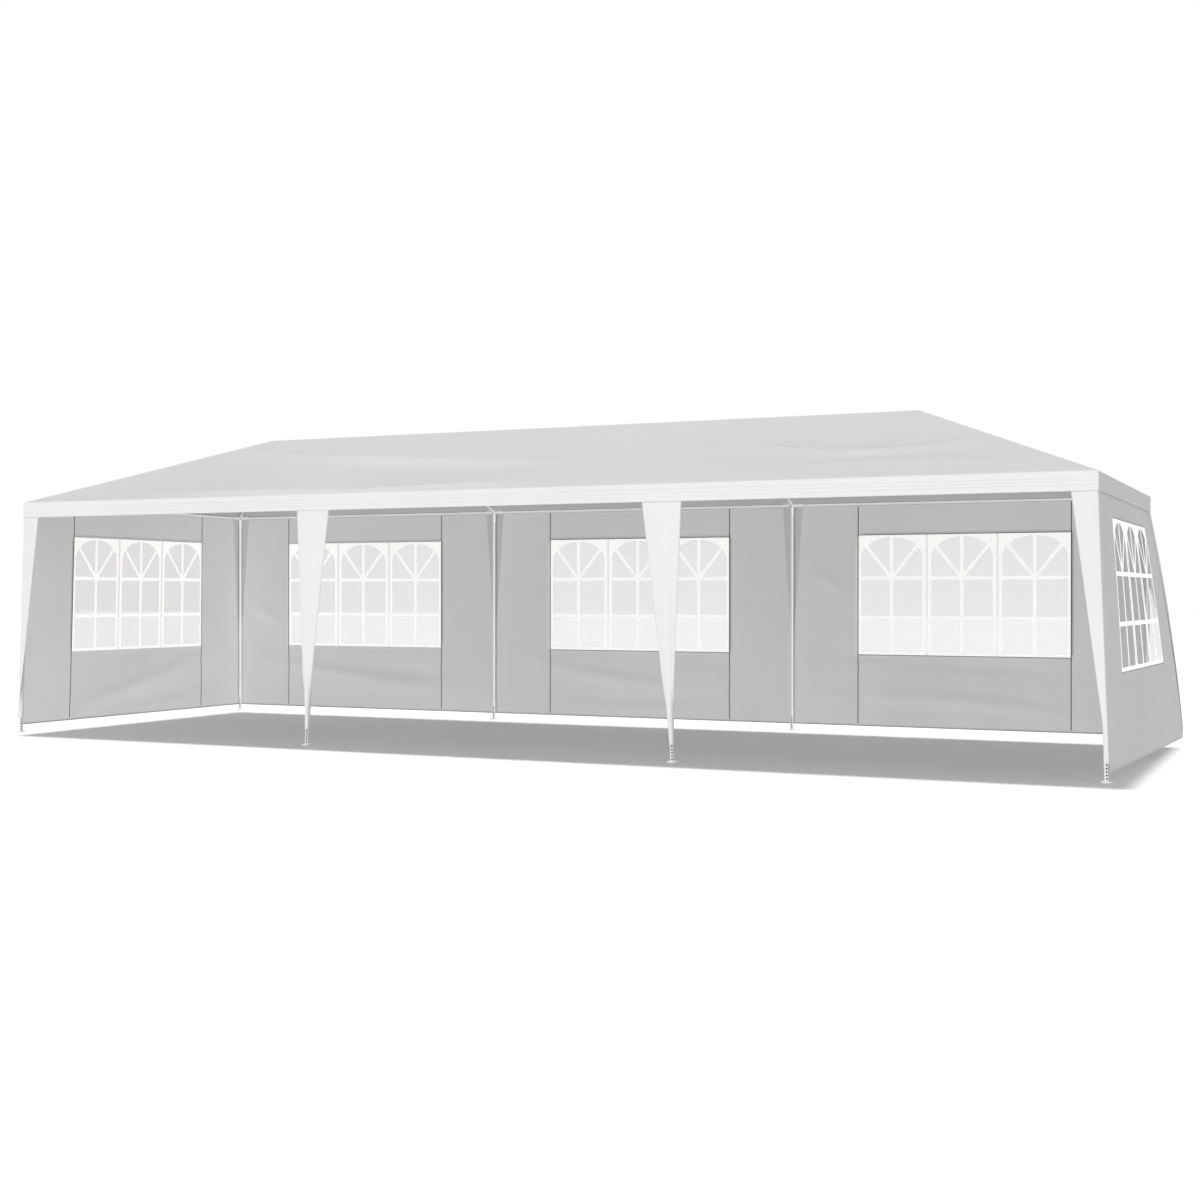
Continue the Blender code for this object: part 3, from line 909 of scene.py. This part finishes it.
def wall_panel(name, left, right, posts):
    """A panel between two edges, with painted shade where a leg cover lies behind it at a post.
    """
    at = PLACES[name]
    columns = evenly_through([left, -WINDOW_HALF, WINDOW_HALF, right], WALL_THREAD)
    rows = evenly_through([HEM_Z + HEM_H, window_low, window_high, WALL_TOP], WALL_THREAD)

    def place(u, z):
        proud = wall_relief(name, u, z, left, right)
        if name == SWUNG:
            u, z = rounded_corner(u, z, right)
        return at(u, z, proud)

    shape = cloth_grid(columns, [HEM_Z, *rows], place)
    weave = shape.loops.layers.uv["weave"]
    shade = shape.verts.layers.float.new("cover_shade_depth")
    in_window = []
    for face in shape.faces:
        for loop in face.loops:
            u, z = loop[weave].uv
            half = BAND_HALF * (z - BAND_LOW) / (BAND_TOP - BAND_LOW)
            loop.vert[shade] = max([half - abs(u - post) for post in posts], default=-1)
        middle = sum((loop[weave].uv for loop in face.loops), Vector((0, 0))) / 4
        if abs(middle.x) < WINDOW_HALF and window_low < middle.y < window_high:
            in_window.append(face)
    bmesh.ops.delete(shape, geom=in_window, context="FACES")
    # The walls seen from inside get the copy with painted shade.
    finish = WALL_CLOTH if name == SWUNG else SHADED_WALL_CLOTH
    panel = add_piece(f"{name}_wall_panel", shape, finish, "wall_cloth", f"{name}_wall")
    thicken(panel)
    if name == SWUNG:
        leave_out(outwards, panel)
    else:
        keep_inside(panel)
    return len(panel.data.polygons)


# %% Hang the five panels
CORNER_EDGE = HALF_BAY + WALL_GAP + CLOTH_T / 2
JOIN = 0.0003
BEHIND_BACK = CORNER_EDGE - CLOTH_T - JOIN
PANELS = {
    "back_left": (-CORNER_EDGE, HALF_BAY - JOIN, (-HALF_BAY, HALF_BAY)),
    "back_middle": (-HALF_BAY + JOIN, HALF_BAY - JOIN, (-HALF_BAY, HALF_BAY)),
    "back_right": (-HALF_BAY + JOIN, CORNER_EDGE, (-HALF_BAY, HALF_BAY)),
    "left_end": (-HALF_BAY, BEHIND_BACK, (HALF_BAY,)),
    SWUNG: (-HALF_BAY, BEHIND_BACK, ()),
}
faces = sum(wall_panel(name, *numbers) for name, numbers in PANELS.items())
print("wall panels:", len(PANELS), "with", faces, "faces")

# %% [markdown]
# ## Window films
#
# Each window is one sheet of clear film, 1.8 m wide, welded to the wall behind its opening.
# The film reaches past the opening by the width of that weld and lies just outside the
# cloth, so that the two sheets touch but don't share a surface.

# %% Window films
WELD = 0.010
FILM_T = 0.0004
FILM_PROUD = 0.0008
FILM_THREAD = 0.07


def window_film_sheet(name):
    at = PLACES[name]
    columns = evenly(-WINDOW_HALF - WELD, WINDOW_HALF + WELD, FILM_THREAD)
    rows = evenly(window_low - WELD, window_high + WELD, FILM_THREAD)
    shape = cloth_grid(columns, rows, lambda u, z: at(u, z, FILM_PROUD))
    film = add_piece(f"{name}_film", shape, WINDOW_FILM, "window_film", f"{name}_window")
    return thicken(film, FILM_T)


films = {name: window_film_sheet(name) for name in PLACES}
print("films:", len(films), f"of {2 * WINDOW_HALF} by {WINDOW_H:.2f} m")

# %% [markdown]
# ## The arched bars
#
# The bars are one flat white frame for each of three arched units. A frame is easiest to
# think of from its panes. Start from the whole arched opening, upright sides with a half
# ellipse on top, and let the straight edges of each bar cut it: the two transoms, the
# mullion and the two bars of the fan. What is left are eight panes, four square ones and
# four of the fan. Because the opening is convex, each cut is the simple half-plane clip
# below. Outline and panes then go into one 2D curve, which Blender fills as a plate with
# holes.

# %% Helpers for the panes of a unit
UNIT = 0.6
UNIT_SLOT = 0.022
OUTER_SIDE = 0.024
INNER_SIDE = 0.038
SILL = 0.026
BAR = 0.030
FAN_BAR = 0.026
FAN_REACH = Vector((0.206, 0.256)).normalized()
TRANSOMS = (0.31, 0.64)
SPRING, CROWN = 0.81, 0.9825
ARCH_POINTS = 20


def arched_opening(half):
    """The outline of the whole opening of a unit, from its middle and the sill's foot."""
    spring, rise = SPRING * WINDOW_H, (CROWN - SPRING) * WINDOW_H
    outline = [Vector((-half, SILL)), Vector((half, SILL))]
    for angle in spread(0, math.pi, ARCH_POINTS):
        outline.append(Vector((half * math.cos(angle), spring + rise * math.sin(angle))))
    return outline


def clipped(outline, point, normal):
    """The part of a convex outline on the side of a line that the normal points to."""
    kept = []
    for here, following in zip(outline, outline[1:] + outline[:1]):
        depth, next_depth = (here - point).dot(normal), (following - point).dot(normal)
        if depth >= 0:
            kept.append(here)
        if depth * next_depth < 0:
            kept.append(here.lerp(following, depth / (depth - next_depth)))
    return kept


def panes(half):
    """The eight panes of a unit."""
    low, high = (share * WINDOW_H for share in TRANSOMS)
    up, edge = Vector((0, 1)), BAR / 2
    found = []
    for side in (Vector((-1, 0)), Vector((1, 0))):
        beside = clipped(arched_opening(half), side * edge, side)
        found.append(clipped(beside, Vector((0, low - edge)), -up))
        between_transoms = clipped(beside, Vector((0, low + edge)), up)
        found.append(clipped(between_transoms, Vector((0, high - edge)), -up))
        fan = clipped(beside, Vector((0, high + edge)), up)
        across = Vector((FAN_REACH.y * side.x, -FAN_REACH.x))
        hub = Vector((0, high))
        found.append(clipped(fan, hub + across * FAN_BAR / 2, across))
        found.append(clipped(fan, hub - across * FAN_BAR / 2, -across))
    return found


# %% Helper that draws a whole lattice
BARS_T = 0.0016


def flat_lattice():
    """Three frames in a flat mesh, with x along the window and y up from its sill."""
    curve = bpy.data.curves.new("lattice", "CURVE")
    curve.dimensions = "2D"
    curve.fill_mode = "BOTH"

    def add_outline(points, shift):
        spline = curve.splines.new("POLY")
        spline.points.add(len(points) - 1)
        for spot, (x, y) in zip(spline.points, points):
            spot.co = (x + shift, y, 0, 1)
        spline.use_cyclic_u = True

    for k in (-1, 0, 1):
        unit_left, unit_right = k * UNIT - UNIT / 2, k * UNIT + UNIT / 2
        left = unit_left + (UNIT_SLOT / 2 if k > -1 else 0)
        right = unit_right - (UNIT_SLOT / 2 if k < 1 else 0)
        add_outline([(left, 0), (right, 0), (right, WINDOW_H), (left, WINDOW_H)], 0)
        open_left = unit_left + (INNER_SIDE if k > -1 else OUTER_SIDE)
        open_right = unit_right - (INNER_SIDE if k < 1 else OUTER_SIDE)
        for pane in panes((open_right - open_left) / 2):
            add_outline(pane, (open_left + open_right) / 2)
    sketch = stand("lattice", curve)
    view = bpy.context.evaluated_depsgraph_get()
    mesh = bpy.data.meshes.new_from_object(sketch.evaluated_get(view))
    bpy.data.objects.remove(sketch)
    bpy.data.curves.remove(curve)
    return mesh


# %% [markdown]
# ## Fitting the bars to the walls
#
# A curve fills its plate with long triangles, which can't follow a bent wall. So the flat
# plate is first cut by evenly spaced upright and level lines, as a stiff sheet is scored
# before it is bent, and then each point goes to its place on the wall.

# %% Make the window bars
SCORE = 0.12
TINY = 0.00001
FLAT_WITHIN = math.radians(0.5)


def window_bars(name):
    at = PLACES[name]
    flat = flat_lattice()
    shape = bmesh.new()
    shape.from_mesh(flat)
    bpy.data.meshes.remove(flat)
    bmesh.ops.remove_doubles(shape, verts=shape.verts, dist=TINY)
    bmesh.ops.dissolve_limit(shape, angle_limit=FLAT_WITHIN, verts=shape.verts, edges=shape.edges)
    for axis, span in ((EAST, WINDOW_HALF), (NORTH, WINDOW_H)):
        for line in evenly(-span, span, SCORE):
            everything = shape.verts[:] + shape.edges[:] + shape.faces[:]
            bmesh.ops.bisect_plane(
                shape, geom=everything, dist=TINY, plane_co=axis * line, plane_no=axis
            )
    for vertex in shape.verts:
        vertex.co = at(vertex.co.x, window_low + vertex.co.y, FILM_PROUD)
    bars = add_piece(f"{name}_window_bars", shape, WINDOW_BAR_WHITE_AND_GLOW, "window_film")
    bars.data.shade_flat()
    keep_inside(bars)
    return thicken(bars, BARS_T)


bars = {name: window_bars(name) for name in PLACES}
print("bars of one window:", len(bars["back_middle"].data.polygons), "faces")

# %% [markdown]
# ## Seams
#
# Each panel is sewn from a window piece and two plain side pieces, so a taped seam runs
# down the whole wall on either side of the window, and on two of the back walls a finer
# one runs along the window's top and foot. A narrow line runs along each hem. On the walls
# seen from inside, seams and hem lines are painted dark, as painted shade where the cloth
# lies double against the daylight. A seam is a narrow ribbon that follows the wall's own
# relief and stands a little proud of both its faces. On the right wall, seams and hem are
# as light as the cloth.

# %% Make the seams
SEAM_W, FINE_SEAM_W, SEAM_T = 0.008, 0.005, 0.0028
HEM_LINE, HEM_LINE_UP, HEM_LINE_IN, HEM_LINE_T = 0.004, 0.001, 0.004, 0.002
FINELY_SEAMED = ("back_middle", "back_right")
EDGES = {name: (-HALF_BAY, HALF_BAY) for name in PLACES}
EDGES["back_left"] = (-CORNER_EDGE, HALF_BAY)
for name in ("back_right", "left_end", SWUNG):
    EDGES[name] = (-HALF_BAY, CORNER_EDGE)


def sewn_on(name, kind, boxes, thickness):
    """Ribbons on a wall as one piece, each from a box in metres along it and height."""

    def place(u, z):
        return PLACES[name](u, z, wall_relief(name, u, z, *EDGES[name]))

    shape = bmesh.new()
    for left, right, low, high in boxes:
        columns, rows = evenly(left, right, WALL_THREAD), evenly(low, high, WALL_THREAD)
        merge(shape, cloth_grid(columns, rows, place))
    # Inside, seams and hem get the painted shade; the right wall, seen from outside, keeps the
    # light cloth.
    finish = WALL_CLOTH if name == SWUNG else SEAM_PAINTED_SHADE
    return thicken(add_piece(f"{name}_{kind}", shape, finish, "wall_cloth"), thickness)


def seams_and_hem(name):
    sides = [(-WINDOW_HALF - SEAM_W, -WINDOW_HALF), (WINDOW_HALF, WINDOW_HALF + SEAM_W)]
    seams = [(*side, HEM_Z + HEM_H, WALL_TOP) for side in sides]
    if name in FINELY_SEAMED:
        for z in (window_low - FINE_SEAM_W, window_high):
            seams.append((-WINDOW_HALF, WINDOW_HALF, z, z + FINE_SEAM_W))
    left, right = EDGES[name]
    inset = LOOSE_CORNER_R if name == SWUNG else HEM_LINE_IN
    low = HEM_Z + HEM_LINE_UP
    hem = (left + HEM_LINE_IN, right - inset, low, low + HEM_LINE)
    return [sewn_on(name, "seams", seams, SEAM_T), sewn_on(name, "hem", [hem], HEM_LINE_T)]


print("seams and hems:", sum(len(seams_and_hem(name)) for name in PLACES))

# %% [markdown]
# ## Leg covers
#
# Each leg has a tapered cover of roof cloth that comes out from under the valance, 30 cm
# wide, and narrows until it wraps the leg near the ground. It is gathered as it narrows,
# which gives it soft upright pleats. A middle cover is a flat strip at the top. A corner
# cover is folded round the corner in a small curve, with a wing along each side. Where a
# wall hangs behind a cover, the cover lies on that wall and follows it. Both kinds are
# grids whose columns run from -1 at one edge to 1 at the other.

# %% Helpers for the pleats
cover_low, cover_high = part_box("front_mid_left_leg_cover")
LONGER_BY = 0.022
COVER_LOW = cover_low.z - LONGER_BY
COVER_HALF = (cover_high.x - cover_low.x) / 2
COVER_WING = 0.17
COVER_END_HALF = 0.0155
COVER_EASE = 0.008
COVER_LIFT = 0.0022
TAPER_END_Z = 0.24
COVER_OUT = WALL_GAP + 0.004
TUCK, TUCK_IN, TUCK_BELOW = 0.022, -0.003, 0.01
PLEAT_LEAST, PLEAT_SHARE, FINE_SHARE = 0.0008, 0.030, 0.45
BROAD_ACROSS, BROAD_DOWN = 2.1, 0.45
FINE_ACROSS, FINE_DOWN = 5.5, 0.8
PUCKER, PUCKER_DROP, PUCKERS_ACROSS = 0.0022, 0.10, 9


def taper(top_half, z):
    """Half the cover's width at a height: straight, then eased into the width of the leg."""
    share_left = (min(z, VALANCE_LOW) - TAPER_END_Z) / (VALANCE_LOW - TAPER_END_Z)
    spare = (top_half - COVER_END_HALF) * share_left
    return COVER_END_HALF + (spare + math.hypot(spare, COVER_EASE)) / 2


def tucked(z):
    """How far a cover lies in behind the valance."""
    return TUCK_IN * smooth_step(VALANCE_LOW - TUCK_BELOW, VALANCE_LOW, z)


def pleat(share, z, half, seed):
    """Upright pleats that lean in with the taper, and a pucker under the valance."""
    broad = uneven(share * BROAD_ACROSS, z * BROAD_DOWN, seed)
    fine = uneven(share * FINE_ACROSS, z * FINE_DOWN, seed + 3)
    pucker = math.exp(-max(0.0, VALANCE_LOW - z) / PUCKER_DROP)
    pucker *= uneven(share * PUCKERS_ACROSS, 1, seed)
    depth = PLEAT_LEAST + PLEAT_SHARE * half
    return depth * (broad + FINE_SHARE * fine) + PUCKER * pucker


def over_wall(name, u, z):
    """The least that a cover must stand out from a post's line, to lie on the wall there."""
    left, right = EDGES[name]
    if not left < u < right or z < HEM_Z:
        return 0.0
    return WALL_GAP + COVER_LIFT + wall_relief(name, u, z, left, right)


def over_back_walls(x, z):
    bay = min(len(BAY_NAMES) - 1, max(0, int((x - POST_X[0]) / BAY)))
    return over_wall(f"back_{BAY_NAMES[bay]}", x - (POST_X[bay] + POST_X[bay + 1]) / 2, z)


# %% Middle leg covers
CROWN_OUT = 0.010
WRAP_FROM, WRAP_TO = 0.60, 0.22
WRAP_ANGLE, LEAST_ANGLE = 0.8 * math.pi, 0.01
ROUND_LEG_FROM = 0.4
MIDDLE_COLUMNS = 30


def middle_cover(side, x, y, splay, seed):
    """A cover down a middle post: wrapped round it in front, flat on the wall at the back."""
    facing = -1 if side == "front" else 1

    def place(share, z):
        half = taper(COVER_HALF, z)
        down = (VALANCE_LOW - min(z, VALANCE_LOW)) / (VALANCE_LOW - COVER_LOW)
        proud = COVER_OUT + CROWN_OUT * math.sin(math.pi * down) * math.cos(math.pi / 2 * share)
        proud += pleat(share, z, half, seed) + tucked(z)
        across = half * share
        if side == "front":
            wrap = smooth_step(0, 1, (WRAP_FROM - z) / (WRAP_FROM - WRAP_TO))
            turn = max(LEAST_ANGLE, WRAP_ANGLE * wrap)
            radius = half / math.sin(min(turn, math.pi / 2))
            across = radius * math.sin(turn * share)
            proud += (half - COVER_OUT) * smooth_step(ROUND_LEG_FROM, 1, wrap)
            proud -= radius * (1 - math.cos(turn * share))
        else:
            proud = max(proud, over_back_walls(x + across, z))
        return Vector((x + splay * drop_at(z) + across, y + facing * proud, z))

    return COVER_HALF, spread(-1, 1, MIDDLE_COLUMNS), place


# %% Corner leg covers
FOLD = 0.010
FOLD_SHARE, FOLD_COLUMNS = 0.12, 8
WING_SHARE, WING_COLUMNS = 1 / 7, 12
FLAT_SHARE = 0.3


def corner_cover(side, name, x, y, seed):
    """A cover folded round a corner post, with a wing along each side of the tent."""
    out_x, out_y = math.copysign(1, x - CENTRE_X), -1 if side == "front" else 1
    stand_out = leaning if name == "left" else swinging
    wing_shares = spread(WING_SHARE, 1, WING_COLUMNS)
    columns = [-share for share in reversed(wing_shares)]
    columns += spread(-FOLD_SHARE, FOLD_SHARE, FOLD_COLUMNS) + wing_shares

    def place(share, z):
        wing = taper(COVER_WING, z)
        length = share * wing
        fold = min(FOLD, wing / 2)
        inward_y = -length if length < -fold else 0.0
        inward_x = length if length > fold else 0.0
        if abs(length) <= fold:
            inward_y = fold * ((fold - length) / (2 * fold)) ** 2
            inward_x = fold * ((fold + length) / (2 * fold)) ** 2
        here_y = y + out_y * (COVER_OUT - inward_y)
        lift = pleat(share, z, wing, seed) * smooth_step(0, FLAT_SHARE, abs(share))
        on_side = tucked(z) + (lift if share < 0 else 0.0)
        on_face = tucked(z) + (lift if share > 0 else 0.0)
        out = max(COVER_OUT + on_side, over_wall(f"{name}_end", here_y - MID_Y, z))
        here_x = x + out_x * (stand_out(here_y, z) + out - inward_x)
        if side == "back":
            on_face = max(on_face, over_back_walls(here_x, z) - COVER_OUT)
        return Vector((here_x, here_y + out_y * on_face, z))

    return COVER_WING, columns, place


# %% Hang the leg covers
COVER_TOP = VALANCE_LOW + TUCK
COVER_ROWS = 58
FIRST_SEED, SEED_PER_POST, SEED_PER_SIDE = 11.7, 4.3, 19.1

for number, (side, name, x, y, splay) in enumerate(POSTS):
    side_number, post_number = divmod(number, len(POST_NAMES))
    seed = FIRST_SEED + SEED_PER_POST * post_number + SEED_PER_SIDE * side_number
    if name.startswith("mid"):
        half, columns, place = middle_cover(side, x, y, splay, seed)
    else:
        half, columns, place = corner_cover(side, name, x, y, seed)
    rows = spread(COVER_LOW, COVER_TOP, COVER_ROWS)
    shape = cloth_grid(columns, rows, place, lambda share, z: (share * half, z))
    covered = f"{side}_{name}_leg_cover"
    cover = thicken(add_piece(f"{side}_{name}_cover", shape, ROOF_CLOTH, "roof_cloth", covered))

# %% [markdown]
# ## Legs
#
# A leg is two tubes. A foot tube slides over the leg 16 cm above the ground and ends in a
# collar. It has a row of holes that fix its height, and a round plate. Both tubes and the
# plate are turned as one profile, a Boolean cuts the holes into the front of the foot, and
# the bore gets bare steel, painted near black as the shade inside it, which makes the holes
# dark. A front leg is then sheared, so that it leans while its plate stays flat on the
# ground.

# %% Helper for turned shapes
TURN_STEPS = 28


def turned(profile, closed=False):
    """A bmesh of a profile of (radius, height) points, turned round the Z axis."""
    shape = bmesh.new()
    points = [shape.verts.new((radius, 0, z)) for radius, z in profile]
    lines = [shape.edges.new(pair) for pair in zip(points, points[1:])]
    if closed:
        lines.append(shape.edges.new((points[-1], points[0])))
    round_z = {"cent": (0, 0, 0), "axis": (0, 0, 1), "angle": math.tau, "steps": TURN_STEPS}
    bmesh.ops.spin(shape, geom=points + lines, use_merge=True, **round_z)
    bmesh.ops.remove_doubles(shape, verts=shape.verts, dist=TINY)
    bmesh.ops.recalc_face_normals(shape, faces=shape.faces)
    return shape


# %% Make the legs
TUBE_R = 0.0125
FOOT_R = 0.0135
BORE, AT_BORE = 0.0105, 0.0002
FOOT_TOP = 0.16
COLLAR_R, COLLAR_H = 0.0150, 0.022
PLATE_R, PLATE_T = 0.035, 0.008
HOLE_R, HOLE_SIDES = 0.0062, 14
HOLE_TURN = math.radians(20)
HOLES_Z = [0.024 + 0.0225 * k for k in range(5)]
PIN_R, PIN_Z = 0.0032, 0.205
LEG_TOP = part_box("back_mid_left_leg")[1].z
LEG_PROFILE = [
    (BORE, LEG_TOP),
    (TUBE_R, LEG_TOP),
    (TUBE_R, FOOT_TOP + COLLAR_H),
    (COLLAR_R, FOOT_TOP + COLLAR_H - 0.001),
    (COLLAR_R, FOOT_TOP + 0.001),
    (COLLAR_R - 0.001, FOOT_TOP),
    (FOOT_R, FOOT_TOP),
    (FOOT_R, 0.0165),
    (FOOT_R + 0.0015, 0.0120),
    (0.021, PLATE_T + 0.0010),
    (PLATE_R - 0.0012, PLATE_T),
    (PLATE_R, PLATE_T - 0.0014),
    (PLATE_R, 0.0010),
    (PLATE_R - 0.0010, 0),
    (BORE, 0),
]


def hole_cutter():
    """A bar for each hole, as one mesh, to cut the front of the tube in a single Boolean."""
    shape = bmesh.new()
    turn = Matrix.Rotation(HOLE_TURN, 4, "Z") @ Matrix.Rotation(math.pi / 2, 4, "X")
    forward = turn @ Matrix.Translation((0, 0, FOOT_R))
    bar = {"segments": HOLE_SIDES, "radius1": HOLE_R, "radius2": HOLE_R, "depth": FOOT_R}
    for z in HOLES_Z:
        place = Matrix.Translation((0, 0, z)) @ forward
        bmesh.ops.create_cone(shape, cap_ends=True, matrix=place, **bar)
    return stand("hole_cutter", mesh_of("hole_cutter", shape))


def upright_leg():
    """One leg at the origin, with its holes cut and its spring pin in place."""
    plain = stand("upright_leg", mesh_of("upright_leg", turned(LEG_PROFILE, closed=True)))
    tool = hole_cutter()
    cut = plain.modifiers.new("holes", "BOOLEAN")
    cut.operation = "DIFFERENCE"
    cut.solver = "EXACT"
    cut.object = tool
    shape = bmesh.new()
    shape.from_object(plain, bpy.context.evaluated_depsgraph_get())
    for removed in (plain, tool):
        bpy.data.objects.remove(removed)
    # The bore's faces get the second finish: bare steel, painted near black as shade in the bore.
    for face in shape.faces:
        if all(corner.co.xy.length < BORE + AT_BORE for corner in face.verts):
            face.material_index = 1
    pin = Matrix.Translation((0, -TUBE_R, PIN_Z))
    bmesh.ops.create_uvsphere(shape, u_segments=12, v_segments=8, radius=PIN_R, matrix=pin)
    return shape


pattern = mesh_of("leg_pattern", upright_leg())
for side, name, x, y, splay in POSTS:
    shape = bmesh.new()
    shape.from_mesh(pattern)
    lean = Matrix.Shear("XY", 4, (-splay / EAVE_Z, 0))
    shape.transform(Matrix.Translation((x + splay, y, 0)) @ lean)
    solid = f"{side}_{name}_leg"
    leg = add_piece(f"{side}_{name}_post", shape, POWDER_COAT, "tube_steel", solid, sharp=32)
    leg.data.materials.append(BARE_STEEL_AND_SHADE)
    if side == "back":
        keep_inside(leg)
bpy.data.meshes.remove(pattern)
print("legs:", len(POSTS), "with", len(HOLES_Z), "holes each")

# %% [markdown]
# ## Connectors
#
# The tubes meet in moulded plastic unions: a round hub with one sleeve for each tube. A
# sleeve has a bead at its mouth, where the plastic is thicker, and a bolt near it that
# holds the tube. All of it is turned from short profiles and stood along the direction of
# each tube, which is known from where the posts, eaves and ridge meet.

# %% Make the connectors
HUB_R = 0.0185
SLEEVE_R = 0.0155
SLEEVE_BORE = 0.0129
SLEEVE_FROM, SLEEVE_END = 0.010, 0.085
BEAD_R, BEAD_L = 0.0175, 0.009
BOLT_AT = 0.062
SLEEVE_PROFILE = [
    (SLEEVE_BORE, SLEEVE_FROM),
    (SLEEVE_R, SLEEVE_FROM),
    (SLEEVE_R, SLEEVE_END - BEAD_L),
    (BEAD_R, SLEEVE_END - BEAD_L + 0.0015),
    (BEAD_R, SLEEVE_END - 0.0015),
    (BEAD_R - 0.0012, SLEEVE_END),
    (SLEEVE_BORE, SLEEVE_END),
]
BOLT_POINTS = [(0.0, 0.0028), (0.0022, 0.0025), (0.0036, 0.0012), (0.0038, -0.001), (0.0, -0.001)]
BOLT_PROFILE = [(radius, SLEEVE_R + proud) for radius, proud in BOLT_POINTS]


def connector(node, centre, directions):
    shape = bmesh.new()
    hub = Matrix.Translation(centre)
    bmesh.ops.create_uvsphere(shape, u_segments=28, v_segments=16, radius=HUB_R, matrix=hub)
    for direction in directions:
        turn = hub @ direction.to_track_quat("Z", "X").to_matrix().to_4x4()
        across = Matrix.Translation((0, 0, BOLT_AT)) @ Matrix.Rotation(math.pi / 2, 4, "X")
        sleeve, bolt = turned(SLEEVE_PROFILE, closed=True), turned(BOLT_PROFILE)
        sleeve.transform(turn)
        bolt.transform(turn @ across)
        merge(shape, sleeve)
        merge(shape, bolt)
    name = node.replace("connector", "union")
    keep_inside(add_piece(name, shape, MOULDED_PLASTIC, "fitting", node, sharp=35))


peaks = [Vector((middle_of(f"{name}_ridge_connector").x, 0, RIDGE_Z)) for name in POST_NAMES]
peaks[0].x, peaks[-1].x = CENTRE_X - RIDGE_HALF, CENTRE_X + RIDGE_HALF
for side, name, x, y, splay in POSTS:
    head = Vector((x, y, EAVE_Z))
    directions = [Vector((splay, 0, -EAVE_Z)), peaks[POST_NAMES.index(name)] - head]
    if name.startswith("mid"):
        directions += [EAST, -EAST]
    else:
        directions.append(Vector((math.copysign(1, CENTRE_X - x), 0, 0)))
        directions.append(NORTH * -math.copysign(1, y))
    connector(f"{side}_{name}_eave_connector", head, directions)
for number, name in enumerate(POST_NAMES):
    directions = [Vector((POST_X[number], y, EAVE_Z)) - peaks[number] for y in (FRONT_Y, BACK_Y)]
    directions += [-EAST] * (number > 0) + [EAST] * (number < len(peaks) - 1)
    connector(f"{name}_ridge_connector", peaks[number], directions)
print("connectors:", len(POSTS) + len(peaks))

# %% [markdown]
# ## Tubes
#
# The eave tubes, rafters and ridge tubes are already the right shape: a plain round tube
# that runs from socket to socket. They stay as they are and only get the powder coat.

# %% Coat the tubes
tubes = [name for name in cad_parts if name.endswith(("_tube", "_rafter"))]
for name in tubes:
    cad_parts[name].data.materials[0] = POWDER_COAT
    keep_inside(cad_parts[name])
print("tubes coated:", len(tubes))
